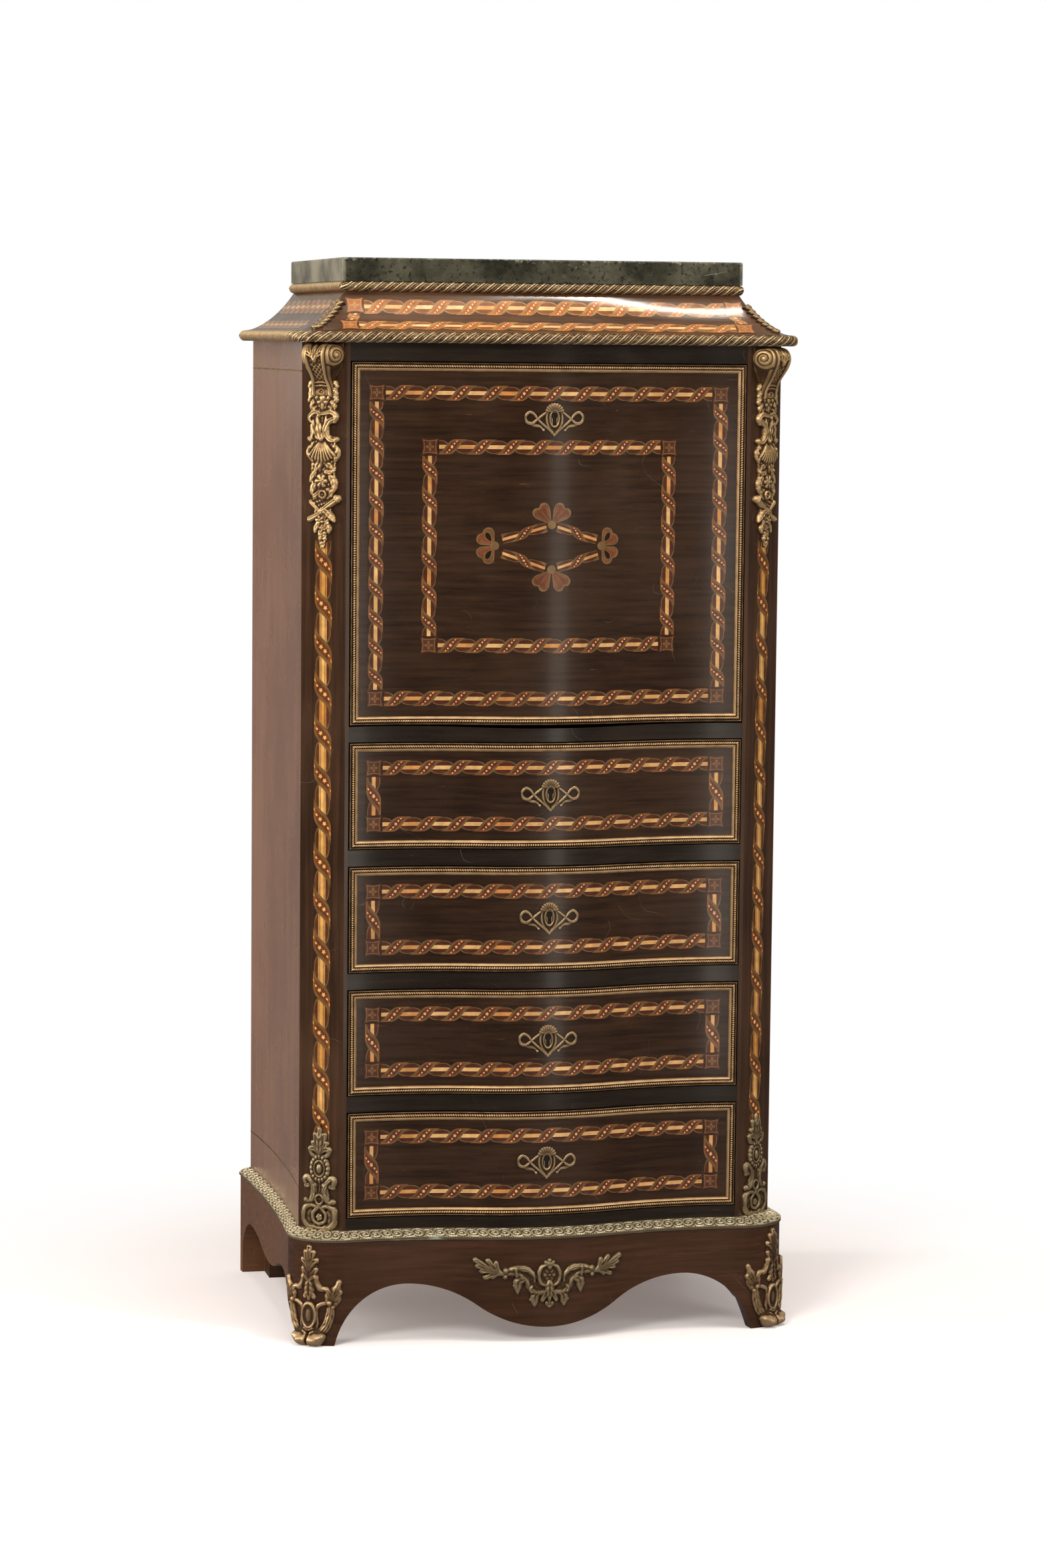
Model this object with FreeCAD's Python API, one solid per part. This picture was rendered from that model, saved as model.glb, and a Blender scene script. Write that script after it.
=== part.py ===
# A fall-front writing desk with a serpentine front, canted corners and a hollowed cornice under marble.
# Millimetres, +Z up, front towards -Y. The origin is on the floor, in the middle of the whole desk.
import FreeCAD
import Part
import math
import os
from FreeCAD import Vector

# Heights, from the floor up
PLINTH_HEIGHT = 136.0
BASE_BOARD_THICK = 10.0
BOTTOM_RAIL_HEIGHT = 17.0
DRAWER_COUNT = 4
DRAWER_HEIGHT = 137.0
RAIL_HEIGHT = 23.3
FLAP_HEIGHT = 463.4
TOP_RAIL_HEIGHT = 24.4
LOWER_BAND_HEIGHT = 14.0
CAVETTO_RISE = 51.0
UPPER_BAND_HEIGHT = 13.0
MARBLE_THICK = 30.0

# Plan of the case: y = 0 is where the front's outer ends stand
DEPTH = 445.0
FRONT_HALF = 266.0
CANT_WIDTH = 50.5
CANT_BACK = 40.0
STILE_WIDTH = 5.0
SIDE_HOLLOW = 7.5
SIDE_THICK = 24.5
BACK_THICK = 12.0
CROWN_OUT = 20.5
FLANK_IN = 4.2
FLANK_INSET = 61.0
FLANK_RADIUS_RATIO = 0.5562

# Plinth and base moulding
PLINTH_OUT = 22.0
PLINTH_SIDE_OUT = 14.5
PLINTH_CORNER_INSET = 4.0
FOOT_SEAM_INSET = 4.0
FOOT_BULGE = 20.0
APRON_THICK = 32.0
FRONT_LEG_PAST_SEAM = 17.0
FRONT_ARCH_INSET = 77.0
FRONT_ARCH_Z = 78.0
FRONT_DROP_Z = 19.0
SIDE_LEG_WIDTH = 14.5
FOOT_HEEL_INSET = 28.7
SIDE_ARCH_INSET = 69.5
SIDE_ARCH_Z = 78.0
SIDE_DROP_Z = 55.0
BACK_LEG_WIDTH = 49.0
BACK_ARCH_Z = 60.0
BACK_FOOT_SIZE = 40.0
LIP_OUT = 2.0
LIP_HEIGHT = 3.0

# Cornice, ropes and marble
CORNICE_SIDE_OUT = 13.5
CORNICE_OUT = 8.0
CORNICE_RADIUS = 45.0
NECK_INSET = 68.5
NECK_FRONT = 46.0
NECK_RADIUS = 3.0
CAVETTO_STEPS = (0.0, 0.06, 0.16, 0.32, 0.52, 0.75, 1.0)
CAVETTO_SLANT_RATIO = 0.47
CORNICE_WALL = 40.0
LOWER_ROPE_RADIUS = 7.0
UPPER_ROPE_RADIUS = 6.5
ROPE_STEPS = 8
MARBLE_OVERHANG = 3.2
MARBLE_FRONT_OVERHANG = 2.6
MARBLE_ROUND = 2.5
TOP_BOARD_THICK = 12.0

# Fall front and its hinge
PANEL_GAP = 3.0
EDGE_GAP = 1.2
FLAP_BACK = 30.0
HINGE_Y = 8.0
HINGE_RISE = 45.8
HINGE_PIN_RADIUS = 4.0
HINGE_PIN_LENGTH = 20.0
HINGE_PLAY = 0.05
BUSH_WALL = 2.0
BUSH_LENGTH = 5.0
SWING_GAP = 1.0
LEATHER_MARGIN = 43.0
LEATHER_TOP_MARGIN = 93.4
LEATHER_THICK = 1.0
LEATHER_RISE = 80.0

# Quadrant stays and their keepers
STAY_RADIUS = 120.0
STAY_WIDTH = 8.0
STAY_THICK = 3.0
STAY_INSET = 11.0
STAY_TAIL_ANGLE = -18.0
STAY_PLAY = 0.4
KEEPER_ANGLE = 75.0
KEEPER_SIZE = 24.0
KEEPER_DEPTH = 12.0

# Mouldings, escutcheons and locks on the fall front and the drawers
MOULD_WIDTH = 11.0
MOULD_PROUD = 4.0
MOULD_GAP = 1.5
ESCUTCHEON_THICK = 3.0
ESCUTCHEON_HALF = 39.0
ESCUTCHEON_RISE = 22.5
KEYHOLE_RADIUS = 3.2
KEYHOLE_SLOT = 3.0
KEYHOLE_DROP = 10.0
FLAP_KEY_DROP = 72.3
LOCK_HALF = 30.0
LOCK_DEPTH = 12.0
LOCK_BELOW_KEY = 20.0
LOCK_COVER = 6.0
BOLT_HALF = 8.0
BOLT_DEPTH = 5.0
BOLT_LENGTH = 26.0
BOLT_SINK = 1.5
BOLT_PLAY = 0.2
MORTISE_DEPTH = 9.5
MORTISE_PLAY = 1.0

# Drawers, rails and runners
DRAWER_BACK = 24.0
BOX_INSET = 2.0
BOX_BACK_GAP = 28.0
BOX_SIDE = 10.0
BOX_HEIGHT = 100.0
BOX_LIFT = 3.5
BOX_FLOOR_LIFT = 2.0
BOX_FLOOR = 6.0
RAIL_SETBACK = 1.0
RAIL_BACK = 62.0
RUNNER_WIDTH = 56.0
RUNNER_THICK = 12.0
GUIDE_HEIGHT = 22.0
GUIDE_GAP = 1.0
SLIDE_GAP = 0.2
DUST_BOARD_THICK = 12.0
FLOOR_THICK = 18.0

# Nest of small drawers and pigeonholes
NEST_GAP = 6.0
NEST_FRONT = 165.0
NEST_HEADROOM = 108.0
NEST_BOARD = 8.0
NEST_SHELF_RISE = 92.0
PIGEONHOLE_X = 80.0
INNER_GAP = 0.3
INNER_WALL = 8.0
INNER_SIDE_HEIGHT = 70.0
INNER_BACK_GAP = 10.0
KNOB_RADIUS = 7.0
KNOB_NECK = 4.0
KNOB_REACH = 10.0

# Gilt mounts
APRON_MOUNT_RELIEF = 7.0
APRON_MOUNT_HALF = 99.0
APRON_MOUNT_HEIGHT = 67.0
APRON_MOUNT_Z = 44.0
LOWER_MOUNT_RELIEF = 8.0
LOWER_MOUNT_HALF = 25.0
LOWER_MOUNT_HEIGHT = 137.0
UPPER_MOUNT_DROP = 261.0
UPPER_MOUNT_RELIEF = 10.0
CORBEL_HALF = 22.0
CORBEL_REACH = 30.0
CORBEL_DROP = 88.0
VOLUTE_RADIUS = 15.0
VOLUTE_HALF = 27.0
FOOT_MOUNT_RELIEF = 6.0
FOOT_MOUNT_GAP = 4.0
TOE_RADIUS = 13.0
TOE_HALF = 15.0
SPRIG_WIDTH = 12.0
SPRIG_RELIEF = 6.0
SPRIG_STEPS = (1, 2, 3, 4, 5)

# Levels and places worked out from the sizes above
CASE_BOTTOM = PLINTH_HEIGHT + BASE_BOARD_THICK
FIRST_DRAWER_Z = CASE_BOTTOM + BOTTOM_RAIL_HEIGHT
DRAWER_PITCH = DRAWER_HEIGHT + RAIL_HEIGHT
FLAP_BOTTOM = FIRST_DRAWER_Z + DRAWER_COUNT * DRAWER_PITCH
FLAP_TOP = FLAP_BOTTOM + FLAP_HEIGHT
CASE_TOP = FLAP_TOP + TOP_RAIL_HEIGHT
CAVETTO_BOTTOM = CASE_TOP + LOWER_BAND_HEIGHT
CAVETTO_TOP = CAVETTO_BOTTOM + CAVETTO_RISE
MARBLE_BOTTOM = CAVETTO_TOP + UPPER_BAND_HEIGHT
HEIGHT = MARBLE_BOTTOM + MARBLE_THICK
BODY_HALF = FRONT_HALF + CANT_WIDTH
INSIDE_HALF = BODY_HALF - SIDE_THICK
INSIDE_BACK = DEPTH - BACK_THICK
OPENING_HALF = FRONT_HALF - STILE_WIDTH
PANEL_HALF = OPENING_HALF - PANEL_GAP
MOULD_HALF = OPENING_HALF - MOULD_GAP
LEATHER_HALF = PANEL_HALF - LEATHER_MARGIN
LEATHER_HEIGHT = FLAP_HEIGHT - LEATHER_RISE - LEATHER_TOP_MARGIN
STAY_X = OPENING_HALF - STAY_INSET
NEST_HALF = STAY_X - NEST_GAP
INNER_BOX_DEPTH = INSIDE_BACK - INNER_BACK_GAP - NEST_FRONT - INNER_WALL
BOX_HALF = PANEL_HALF - BOX_INSET
BOX_DEPTH = INSIDE_BACK - BOX_BACK_GAP - DRAWER_BACK
FLANK_X = FRONT_HALF - FLANK_INSET
PLINTH_HALF = BODY_HALF + PLINTH_SIDE_OUT
PLINTH_CORNER_Y = CANT_BACK - PLINTH_CORNER_INSET
FOOT_SEAM = FRONT_HALF - FOOT_SEAM_INSET
FOOT_MOUNT_HEIGHT = PLINTH_HEIGHT - FOOT_MOUNT_GAP
FRONT_LEG_X = FOOT_SEAM + FRONT_LEG_PAST_SEAM
FRONT_ARCH_X = FOOT_SEAM - FRONT_ARCH_INSET
SIDE_LEG = (DEPTH - PLINTH_CORNER_Y) / 2 - SIDE_LEG_WIDTH
SIDE_ARCH = (DEPTH - PLINTH_CORNER_Y) / 2 - SIDE_ARCH_INSET
BACK_LEG_X = PLINTH_HALF - APRON_THICK - BACK_LEG_WIDTH
CORNICE_HALF = BODY_HALF + CORNICE_SIDE_OUT
NECK_HALF = CORNICE_HALF - NECK_INSET
MARBLE_HALF = NECK_HALF + MARBLE_OVERHANG
MARBLE_FRONT = NECK_FRONT - MARBLE_FRONT_OVERHANG
HINGE_Z = FLAP_BOTTOM + HINGE_RISE
DESK_FLOOR_Z = HINGE_Z + FLAP_BACK - HINGE_Y
NEST_HEIGHT = CASE_TOP - TOP_BOARD_THICK - NEST_HEADROOM - DESK_FLOOR_Z
FRONT_MOST = -(CROWN_OUT + PLINTH_OUT + APRON_MOUNT_RELIEF)
MIDDLE_Y = (FRONT_MOST + DEPTH) / 2
CROWN_TO_FLANK = CROWN_OUT + FLANK_IN
BOTH_RADII = (FLANK_X**2 + CROWN_TO_FLANK**2) / (2 * CROWN_TO_FLANK)
FLANK_RADIUS = BOTH_RADII * FLANK_RADIUS_RATIO
CROWN_RADIUS = BOTH_RADII - FLANK_RADIUS
TURN_X = FLANK_X * CROWN_RADIUS / (CROWN_RADIUS + FLANK_RADIUS)
FAR = 2 * HEIGHT
UP = Vector(0, 0, 1)
NODES = {}


def front_y(x):
    """Depth of the serpentine front at x: one convex arc in the middle, a concave arc on each flank."""
    out = abs(x)
    if out <= TURN_X:
        return CROWN_RADIUS - CROWN_OUT - math.sqrt(CROWN_RADIUS**2 - out**2)
    return FLANK_IN - FLANK_RADIUS + math.sqrt(FLANK_RADIUS**2 - (out - FLANK_X) ** 2)


def line(start, end):
    return Part.makeLine(start, end)


def arc(start, through, end):
    return Part.Arc(start, through, end).toShape()


def polygon(points):
    return Part.Face(Part.makePolygon(points + [points[0]]))


def box(low, high):
    size = Vector(*high) - Vector(*low)
    return Part.makeBox(size.x, size.y, size.z, Vector(*low))


def both_sides(shape):
    """The shape and its mirror image across the desk's middle plane."""
    return [shape, shape.mirror(Vector(0, 0, 0), Vector(1, 0, 0))]


def front_edges(half, shift, z, bow=1.0, stretch=1.0):
    """Edges along the serpentine from -half to half, moved back by shift, with its bow scaled."""
    turns = [x for x in (-TURN_X / stretch, TURN_X / stretch) if abs(x) < half]
    stops = [-half] + turns + [half]

    def point(x):
        return Vector(x, shift + bow * front_y(x * stretch), z)

    edges = []
    for x0, x1 in zip(stops, stops[1:]):
        if bow:
            edges.append(arc(point(x0), point((x0 + x1) / 2), point(x1)))
        else:
            edges.append(line(point(x0), point(x1)))
    return edges


def bowed_board(half, shift, back, z0, z1):
    """A board with the serpentine in front, a flat back and square ends."""
    edges = front_edges(half, shift, z0)
    start = edges[0].Vertexes[0].Point
    end = edges[-1].Vertexes[-1].Point
    edges += Part.makePolygon([end, Vector(half, back, z0), Vector(-half, back, z0), start]).Edges
    return Part.Face(Part.Wire(edges)).extrude(UP * (z1 - z0))


def bowed_skin(half, shift, thick, z0, z1):
    """A layer that lies on the serpentine face at shift and stands forward of it by thick."""
    fore = front_edges(half, shift - thick, z0)
    aft = front_edges(half, shift, z0)
    right = line(fore[-1].Vertexes[-1].Point, aft[-1].Vertexes[-1].Point)
    left = line(aft[0].Vertexes[0].Point, fore[0].Vertexes[0].Point)
    return Part.Face(Part.Wire(fore + [right] + aft[::-1] + [left])).extrude(UP * (z1 - z0))


def outline(front_half, shift, corner, bulge, hollow, z):
    """Closed plan of the case: serpentine, corner faces, hollow sides and a straight back.

    corner is the (x, y) where the right corner face meets the side, and bulge rounds that face outwards.
    """
    edges = front_edges(front_half, shift, z)
    start = edges[0].Vertexes[0].Point
    end = edges[-1].Vertexes[-1].Point
    meet = Vector(corner[0], corner[1], z)
    back = Vector(corner[0], DEPTH, z)
    waist = Vector(corner[0] - hollow, (corner[1] + DEPTH) / 2, z)
    chord = meet - end
    out = Vector(chord.y, -chord.x, 0).normalize()
    middle = (meet + end) * 0.5 + out * bulge

    def flip(point):
        return Vector(-point.x, point.y, point.z)

    if bulge:
        edges.append(arc(end, middle, meet))
    else:
        edges.append(line(end, meet))
    edges.append(arc(meet, waist, back))
    edges.append(line(back, flip(back)))
    edges.append(arc(flip(back), flip(waist), flip(meet)))
    if bulge:
        edges.append(arc(flip(meet), flip(middle), start))
    else:
        edges.append(line(flip(meet), start))
    return Part.Wire(edges)


def case_outline(z):
    return outline(FRONT_HALF, 0, (BODY_HALF, CANT_BACK), 0, SIDE_HOLLOW, z)


def lip_outline(z):
    corner = (PLINTH_HALF + LIP_OUT, PLINTH_CORNER_Y)
    return outline(FOOT_SEAM, -PLINTH_OUT - LIP_OUT, corner, FOOT_BULGE, SIDE_HOLLOW, z)


def lower_edge(legs, arch, arch_z, drop_z, place):
    """The space under an apron: an arch beside each leg and a drop in the middle, as a closed face.

    legs is how far the first and the last leg stand from the apron's middle. place turns a distance from that
    middle and a height into a point.
    """
    first, last = legs
    rise = arch_z - drop_z
    wave = (arch**2 + rise**2) / (4 * rise)

    def height(s, leg):
        if s >= arch:
            haunch = ((leg - arch) ** 2 + arch_z**2) / (2 * arch_z)
            return arch_z - haunch + math.sqrt(max(haunch**2 - (s - arch) ** 2, 0))
        if s >= arch / 2:
            return arch_z - wave + math.sqrt(wave**2 - (s - arch) ** 2)
        return drop_z + wave - math.sqrt(wave**2 - s**2)

    def spot(s):
        return place(s, height(abs(s), last if s > 0 else first))

    def sweep(a, b):
        return arc(spot(a), spot((a + b) / 2), spot(b))

    below_first = place(-first, -arch_z)
    below_last = place(last, -arch_z)
    edges = [line(below_first, spot(-first)), sweep(-first, -arch), sweep(-arch, -arch / 2)]
    edges += [sweep(-arch / 2, arch / 2), sweep(arch / 2, arch), sweep(arch, last)]
    edges += [line(spot(last), below_last), line(below_last, below_first)]
    return Part.Face(Part.Wire(edges))


def cant_frame(shape):
    """Carries a shape drawn about the origin, facing -Y, to the middle of the right canted corner."""
    start = Vector(FRONT_HALF, front_y(FRONT_HALF), 0)
    end = Vector(BODY_HALF, CANT_BACK, 0)
    turn = math.degrees(math.atan2(end.y - start.y, end.x - start.x))
    moved = shape.copy()
    moved.rotate(Vector(0, 0, 0), UP, turn)
    moved.translate((start + end) * 0.5)
    return moved


def mirrored_outline(points, y):
    """A face in the plane y, from the right half of its outline given as (x, z), top to bottom."""
    right = [Vector(x, y, z) for x, z in points]
    left = [Vector(-x, y, z) for x, z in reversed(points) if x > 0]
    return polygon(right + left)


def front_foot():
    """The right front corner foot: a block with a rounded face, cut by the arches on both sides of it."""
    start = Vector(FOOT_SEAM, front_y(FOOT_SEAM) - PLINTH_OUT, 0)
    end = Vector(PLINTH_HALF, PLINTH_CORNER_Y, 0)
    chord = end - start
    out = Vector(chord.y, -chord.x, 0).normalize()
    face = arc(start, (start + end) * 0.5 + out * FOOT_BULGE, end)
    inner = Vector(PLINTH_HALF - APRON_THICK, PLINTH_CORNER_Y, 0)
    seam = start + Vector(0, APRON_THICK, 0)
    plan = Part.Wire([face] + Part.makePolygon([end, inner, seam, start]).Edges)
    return Part.Face(plan).extrude(UP * PLINTH_HEIGHT).cut(front_arch()).cut(side_arch())


def front_arch():
    """The space under the front apron, as a solid that runs through it from front to back."""

    def place(s, z):
        return Vector(s, -DEPTH, z)

    face = lower_edge((FRONT_LEG_X, FRONT_LEG_X), FRONT_ARCH_X, FRONT_ARCH_Z, FRONT_DROP_Z, place)
    return face.extrude(Vector(0, DEPTH + CANT_BACK, 0))


def side_arch():
    """The space under the right side apron, which also cuts away the heel of the front foot."""
    middle = (PLINTH_CORNER_Y + DEPTH) / 2
    heel = middle - PLINTH_CORNER_Y + FOOT_HEEL_INSET

    def place(s, z):
        return Vector(0, middle + s, z)

    face = lower_edge((heel, SIDE_LEG), SIDE_ARCH, SIDE_ARCH_Z, SIDE_DROP_Z, place)
    return face.extrude(Vector(2 * PLINTH_HALF, 0, 0))


def make_plinth():
    apron = bowed_skin(FOOT_SEAM, APRON_THICK - PLINTH_OUT, APRON_THICK, 0, PLINTH_HEIGHT)
    NODES["front_apron"] = [apron.cut(front_arch())]

    middle = (PLINTH_CORNER_Y + DEPTH) / 2
    inner = PLINTH_HALF - APRON_THICK
    near = Vector(PLINTH_HALF, PLINTH_CORNER_Y, 0)
    far = Vector(PLINTH_HALF, DEPTH, 0)
    waist = Vector(PLINTH_HALF - SIDE_HOLLOW, middle, 0)
    inside = Part.makePolygon([far, Vector(inner, DEPTH, 0), Vector(inner, PLINTH_CORNER_Y, 0), near])
    side = Part.Face(Part.Wire([arc(near, waist, far)] + inside.Edges)).extrude(UP * PLINTH_HEIGHT)
    NODES["side_aprons"] = both_sides(side.cut(side_arch()))

    back = box((-inner, DEPTH - APRON_THICK / 2, 0), (inner, DEPTH, PLINTH_HEIGHT))
    back = back.cut(box((-BACK_LEG_X, 0, -1), (BACK_LEG_X, 2 * DEPTH, BACK_ARCH_Z)))
    NODES["back_apron"] = [back]

    block_y = DEPTH - APRON_THICK / 2
    block = box((inner - BACK_FOOT_SIZE, block_y - BACK_FOOT_SIZE, 0), (inner, block_y, PLINTH_HEIGHT))
    NODES["corner_feet"] = both_sides(front_foot()) + both_sides(block)

    board = Part.Face(case_outline(PLINTH_HEIGHT)).extrude(UP * BASE_BOARD_THICK)
    NODES["bottom_board"] = [board]
    lip_top = PLINTH_HEIGHT + LIP_HEIGHT
    lip = Part.Face(lip_outline(PLINTH_HEIGHT)).extrude(UP * LIP_HEIGHT)
    slope = Part.makeLoft([lip_outline(lip_top), case_outline(CASE_BOTTOM)], True, True)
    NODES["base_moulding"] = [lip.fuse(slope).removeSplitter().cut(board)]


def drawer_floor(index):
    """Height of the lower edge of a drawer's moulding; drawer 1 is the top one."""
    return FIRST_DRAWER_Z + (DRAWER_COUNT - index) * DRAWER_PITCH


def bolt_slot(back, z0, z1, play):
    """The space that a lock bolt slides in, in a front whose back face is at back."""
    middle = back - LOCK_DEPTH / 2
    reach = BOLT_DEPTH / 2 + play
    return box((-BOLT_HALF - play, middle - reach, z0), (BOLT_HALF + play, middle + reach, z1))


def hinge_sweep():
    """What the lower edge of the fall front passes through as it opens, with its clearance."""
    lower = FLAP_BOTTOM - SWING_GAP
    edges = front_edges(OPENING_HALF, -MOULD_PROUD - SWING_GAP, lower)
    back = FLAP_BACK + SWING_GAP
    start = edges[0].Vertexes[0].Point
    end = edges[-1].Vertexes[-1].Point
    corners = [end, Vector(OPENING_HALF, back, lower), Vector(-OPENING_HALF, back, lower), start]
    face = Part.Face(Part.Wire(edges + Part.makePolygon(corners).Edges))
    return face.revolve(Vector(0, HINGE_Y, HINGE_Z), Vector(1, 0, 0), 90)


def make_case():
    corner = Vector(BODY_HALF, CANT_BACK, CASE_BOTTOM)
    rear = Vector(BODY_HALF, DEPTH, CASE_BOTTOM)
    waist = Vector(BODY_HALF - SIDE_HOLLOW, (CANT_BACK + DEPTH) / 2, CASE_BOTTOM)
    inside = [rear, Vector(INSIDE_HALF, DEPTH, CASE_BOTTOM), Vector(INSIDE_HALF, CANT_BACK, CASE_BOTTOM), corner]
    side = Part.Face(Part.Wire([arc(corner, waist, rear)] + Part.makePolygon(inside).Edges))
    side = side.extrude(UP * (CASE_TOP - CASE_BOTTOM))
    right, left = both_sides(side)
    NODES["right_side_panel"] = [right]
    NODES["left_side_panel"] = [left]

    front = Vector(FRONT_HALF, front_y(FRONT_HALF), CASE_BOTTOM)
    stile = Vector(OPENING_HALF, front_y(OPENING_HALF), CASE_BOTTOM)
    heel = Vector(OPENING_HALF, CANT_BACK, CASE_BOTTOM)
    post = polygon([front, corner, heel, stile]).extrude(UP * (CASE_TOP - CASE_BOTTOM))
    bush_hole = Part.makeCylinder(bush_radius(), BUSH_LENGTH, hinge_point(OPENING_HALF), Vector(1, 0, 0))
    NODES["corner_posts"] = both_sides(post.cut(bush_hole))

    NODES["back_panel"] = [box((-INSIDE_HALF, INSIDE_BACK, CASE_BOTTOM), (INSIDE_HALF, DEPTH, CASE_TOP))]

    rails = [bowed_board(OPENING_HALF, RAIL_SETBACK, RAIL_BACK, CASE_BOTTOM, FIRST_DRAWER_Z - EDGE_GAP)]
    for index in range(DRAWER_COUNT, 0, -1):
        low = drawer_floor(index) + DRAWER_HEIGHT + EDGE_GAP
        high = drawer_floor(index) + DRAWER_PITCH - EDGE_GAP
        rail = bowed_board(OPENING_HALF, RAIL_SETBACK, RAIL_BACK, low, high)
        rail = rail.cut(bolt_slot(DRAWER_BACK, low, low + MORTISE_DEPTH, MORTISE_PLAY))
        if index == 1:
            rail = rail.cut(hinge_sweep())
            dust_board = box((-INSIDE_HALF, RAIL_BACK, low), (INSIDE_HALF, INSIDE_BACK, low + DUST_BOARD_THICK))
            rails.append(dust_board)
        rails.append(rail)
    NODES["drawer_rails"] = rails

    runners = []
    for index in range(1, DRAWER_COUNT + 1):
        top = drawer_floor(index) + BOX_LIFT - SLIDE_GAP
        inner = INSIDE_HALF - RUNNER_WIDTH
        runner = box((inner, RAIL_BACK, top - RUNNER_THICK), (INSIDE_HALF, INSIDE_BACK, top))
        guide = box((BOX_HALF + GUIDE_GAP, RAIL_BACK, top), (INSIDE_HALF, INSIDE_BACK, top + GUIDE_HEIGHT))
        runners += both_sides(runner) + both_sides(guide)
    NODES["drawer_runners"] = runners

    top_low = FLAP_TOP + EDGE_GAP
    top_rail = bowed_board(OPENING_HALF, RAIL_SETBACK, CANT_BACK, top_low, CASE_TOP)
    NODES["top_rail"] = [top_rail.cut(bolt_slot(FLAP_BACK, top_low, top_low + MORTISE_DEPTH, MORTISE_PLAY))]
    top_board_low = (-INSIDE_HALF, CANT_BACK, CASE_TOP - TOP_BOARD_THICK)
    NODES["top_board"] = [box(top_board_low, (INSIDE_HALF, INSIDE_BACK, CASE_TOP))]

    tail = math.hypot(FLAP_BACK - HINGE_Y, HINGE_RISE)
    floor_low = (-INSIDE_HALF, HINGE_Y + tail + SWING_GAP, DESK_FLOOR_Z - FLOOR_THICK)
    floor = box(floor_low, (INSIDE_HALF, INSIDE_BACK, DESK_FLOOR_Z))
    for slot in both_sides(stay_ring(2 * STAY_PLAY, STAY_TAIL_ANGLE - 5, 90)):
        floor = floor.cut(slot)
    NODES["desk_floor"] = [floor]


def cornice_outline(spread, outset, z):
    """Plan of the cornice: spread is 0 at the square neck and 1 at the wide bowed foot."""
    half = NECK_HALF + (CORNICE_HALF - NECK_HALF) * spread + outset
    radius = NECK_RADIUS + (CORNICE_RADIUS - NECK_RADIUS) * spread + outset
    shift = NECK_FRONT + (-CORNICE_OUT - NECK_FRONT) * spread - outset
    flat = half - radius
    edges = front_edges(flat, shift, z, bow=spread, stretch=FRONT_HALF / flat)
    start = edges[0].Vertexes[0].Point
    end = edges[-1].Vertexes[-1].Point
    turn = Vector(half, end.y + radius, z)
    centre = Vector(flat, end.y + radius, z)
    through = centre + Vector(1, -1, 0).normalize() * radius

    def flip(point):
        return Vector(-point.x, point.y, point.z)

    back = Vector(half, DEPTH, z)
    edges.append(arc(end, through, turn))
    edges += Part.makePolygon([turn, back, flip(back), flip(turn)]).Edges
    edges.append(arc(flip(turn), flip(through), start))
    return Part.Wire(edges)


def cavetto_spread(level):
    """How far the hollow moulding stands out at a share of its height: steep above, flat below."""
    fall = 1 - level
    return CAVETTO_SLANT_RATIO * fall + (1 - CAVETTO_SLANT_RATIO) * (1 - math.sqrt(1 - fall**2))


def rope(spread, radius, z):
    """A half-round moulding round the front and sides of the cornice, centred at height z."""
    wires = []
    for step in range(ROPE_STEPS + 1):
        angle = math.pi * (step / ROPE_STEPS - 0.5)
        wires.append(cornice_outline(spread, radius * math.cos(angle), z + radius * math.sin(angle)))
    core = Part.Face(cornice_outline(spread, 0, z - radius)).extrude(UP * (2 * radius))
    return Part.makeLoft(wires, True, True).cut(core)


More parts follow.
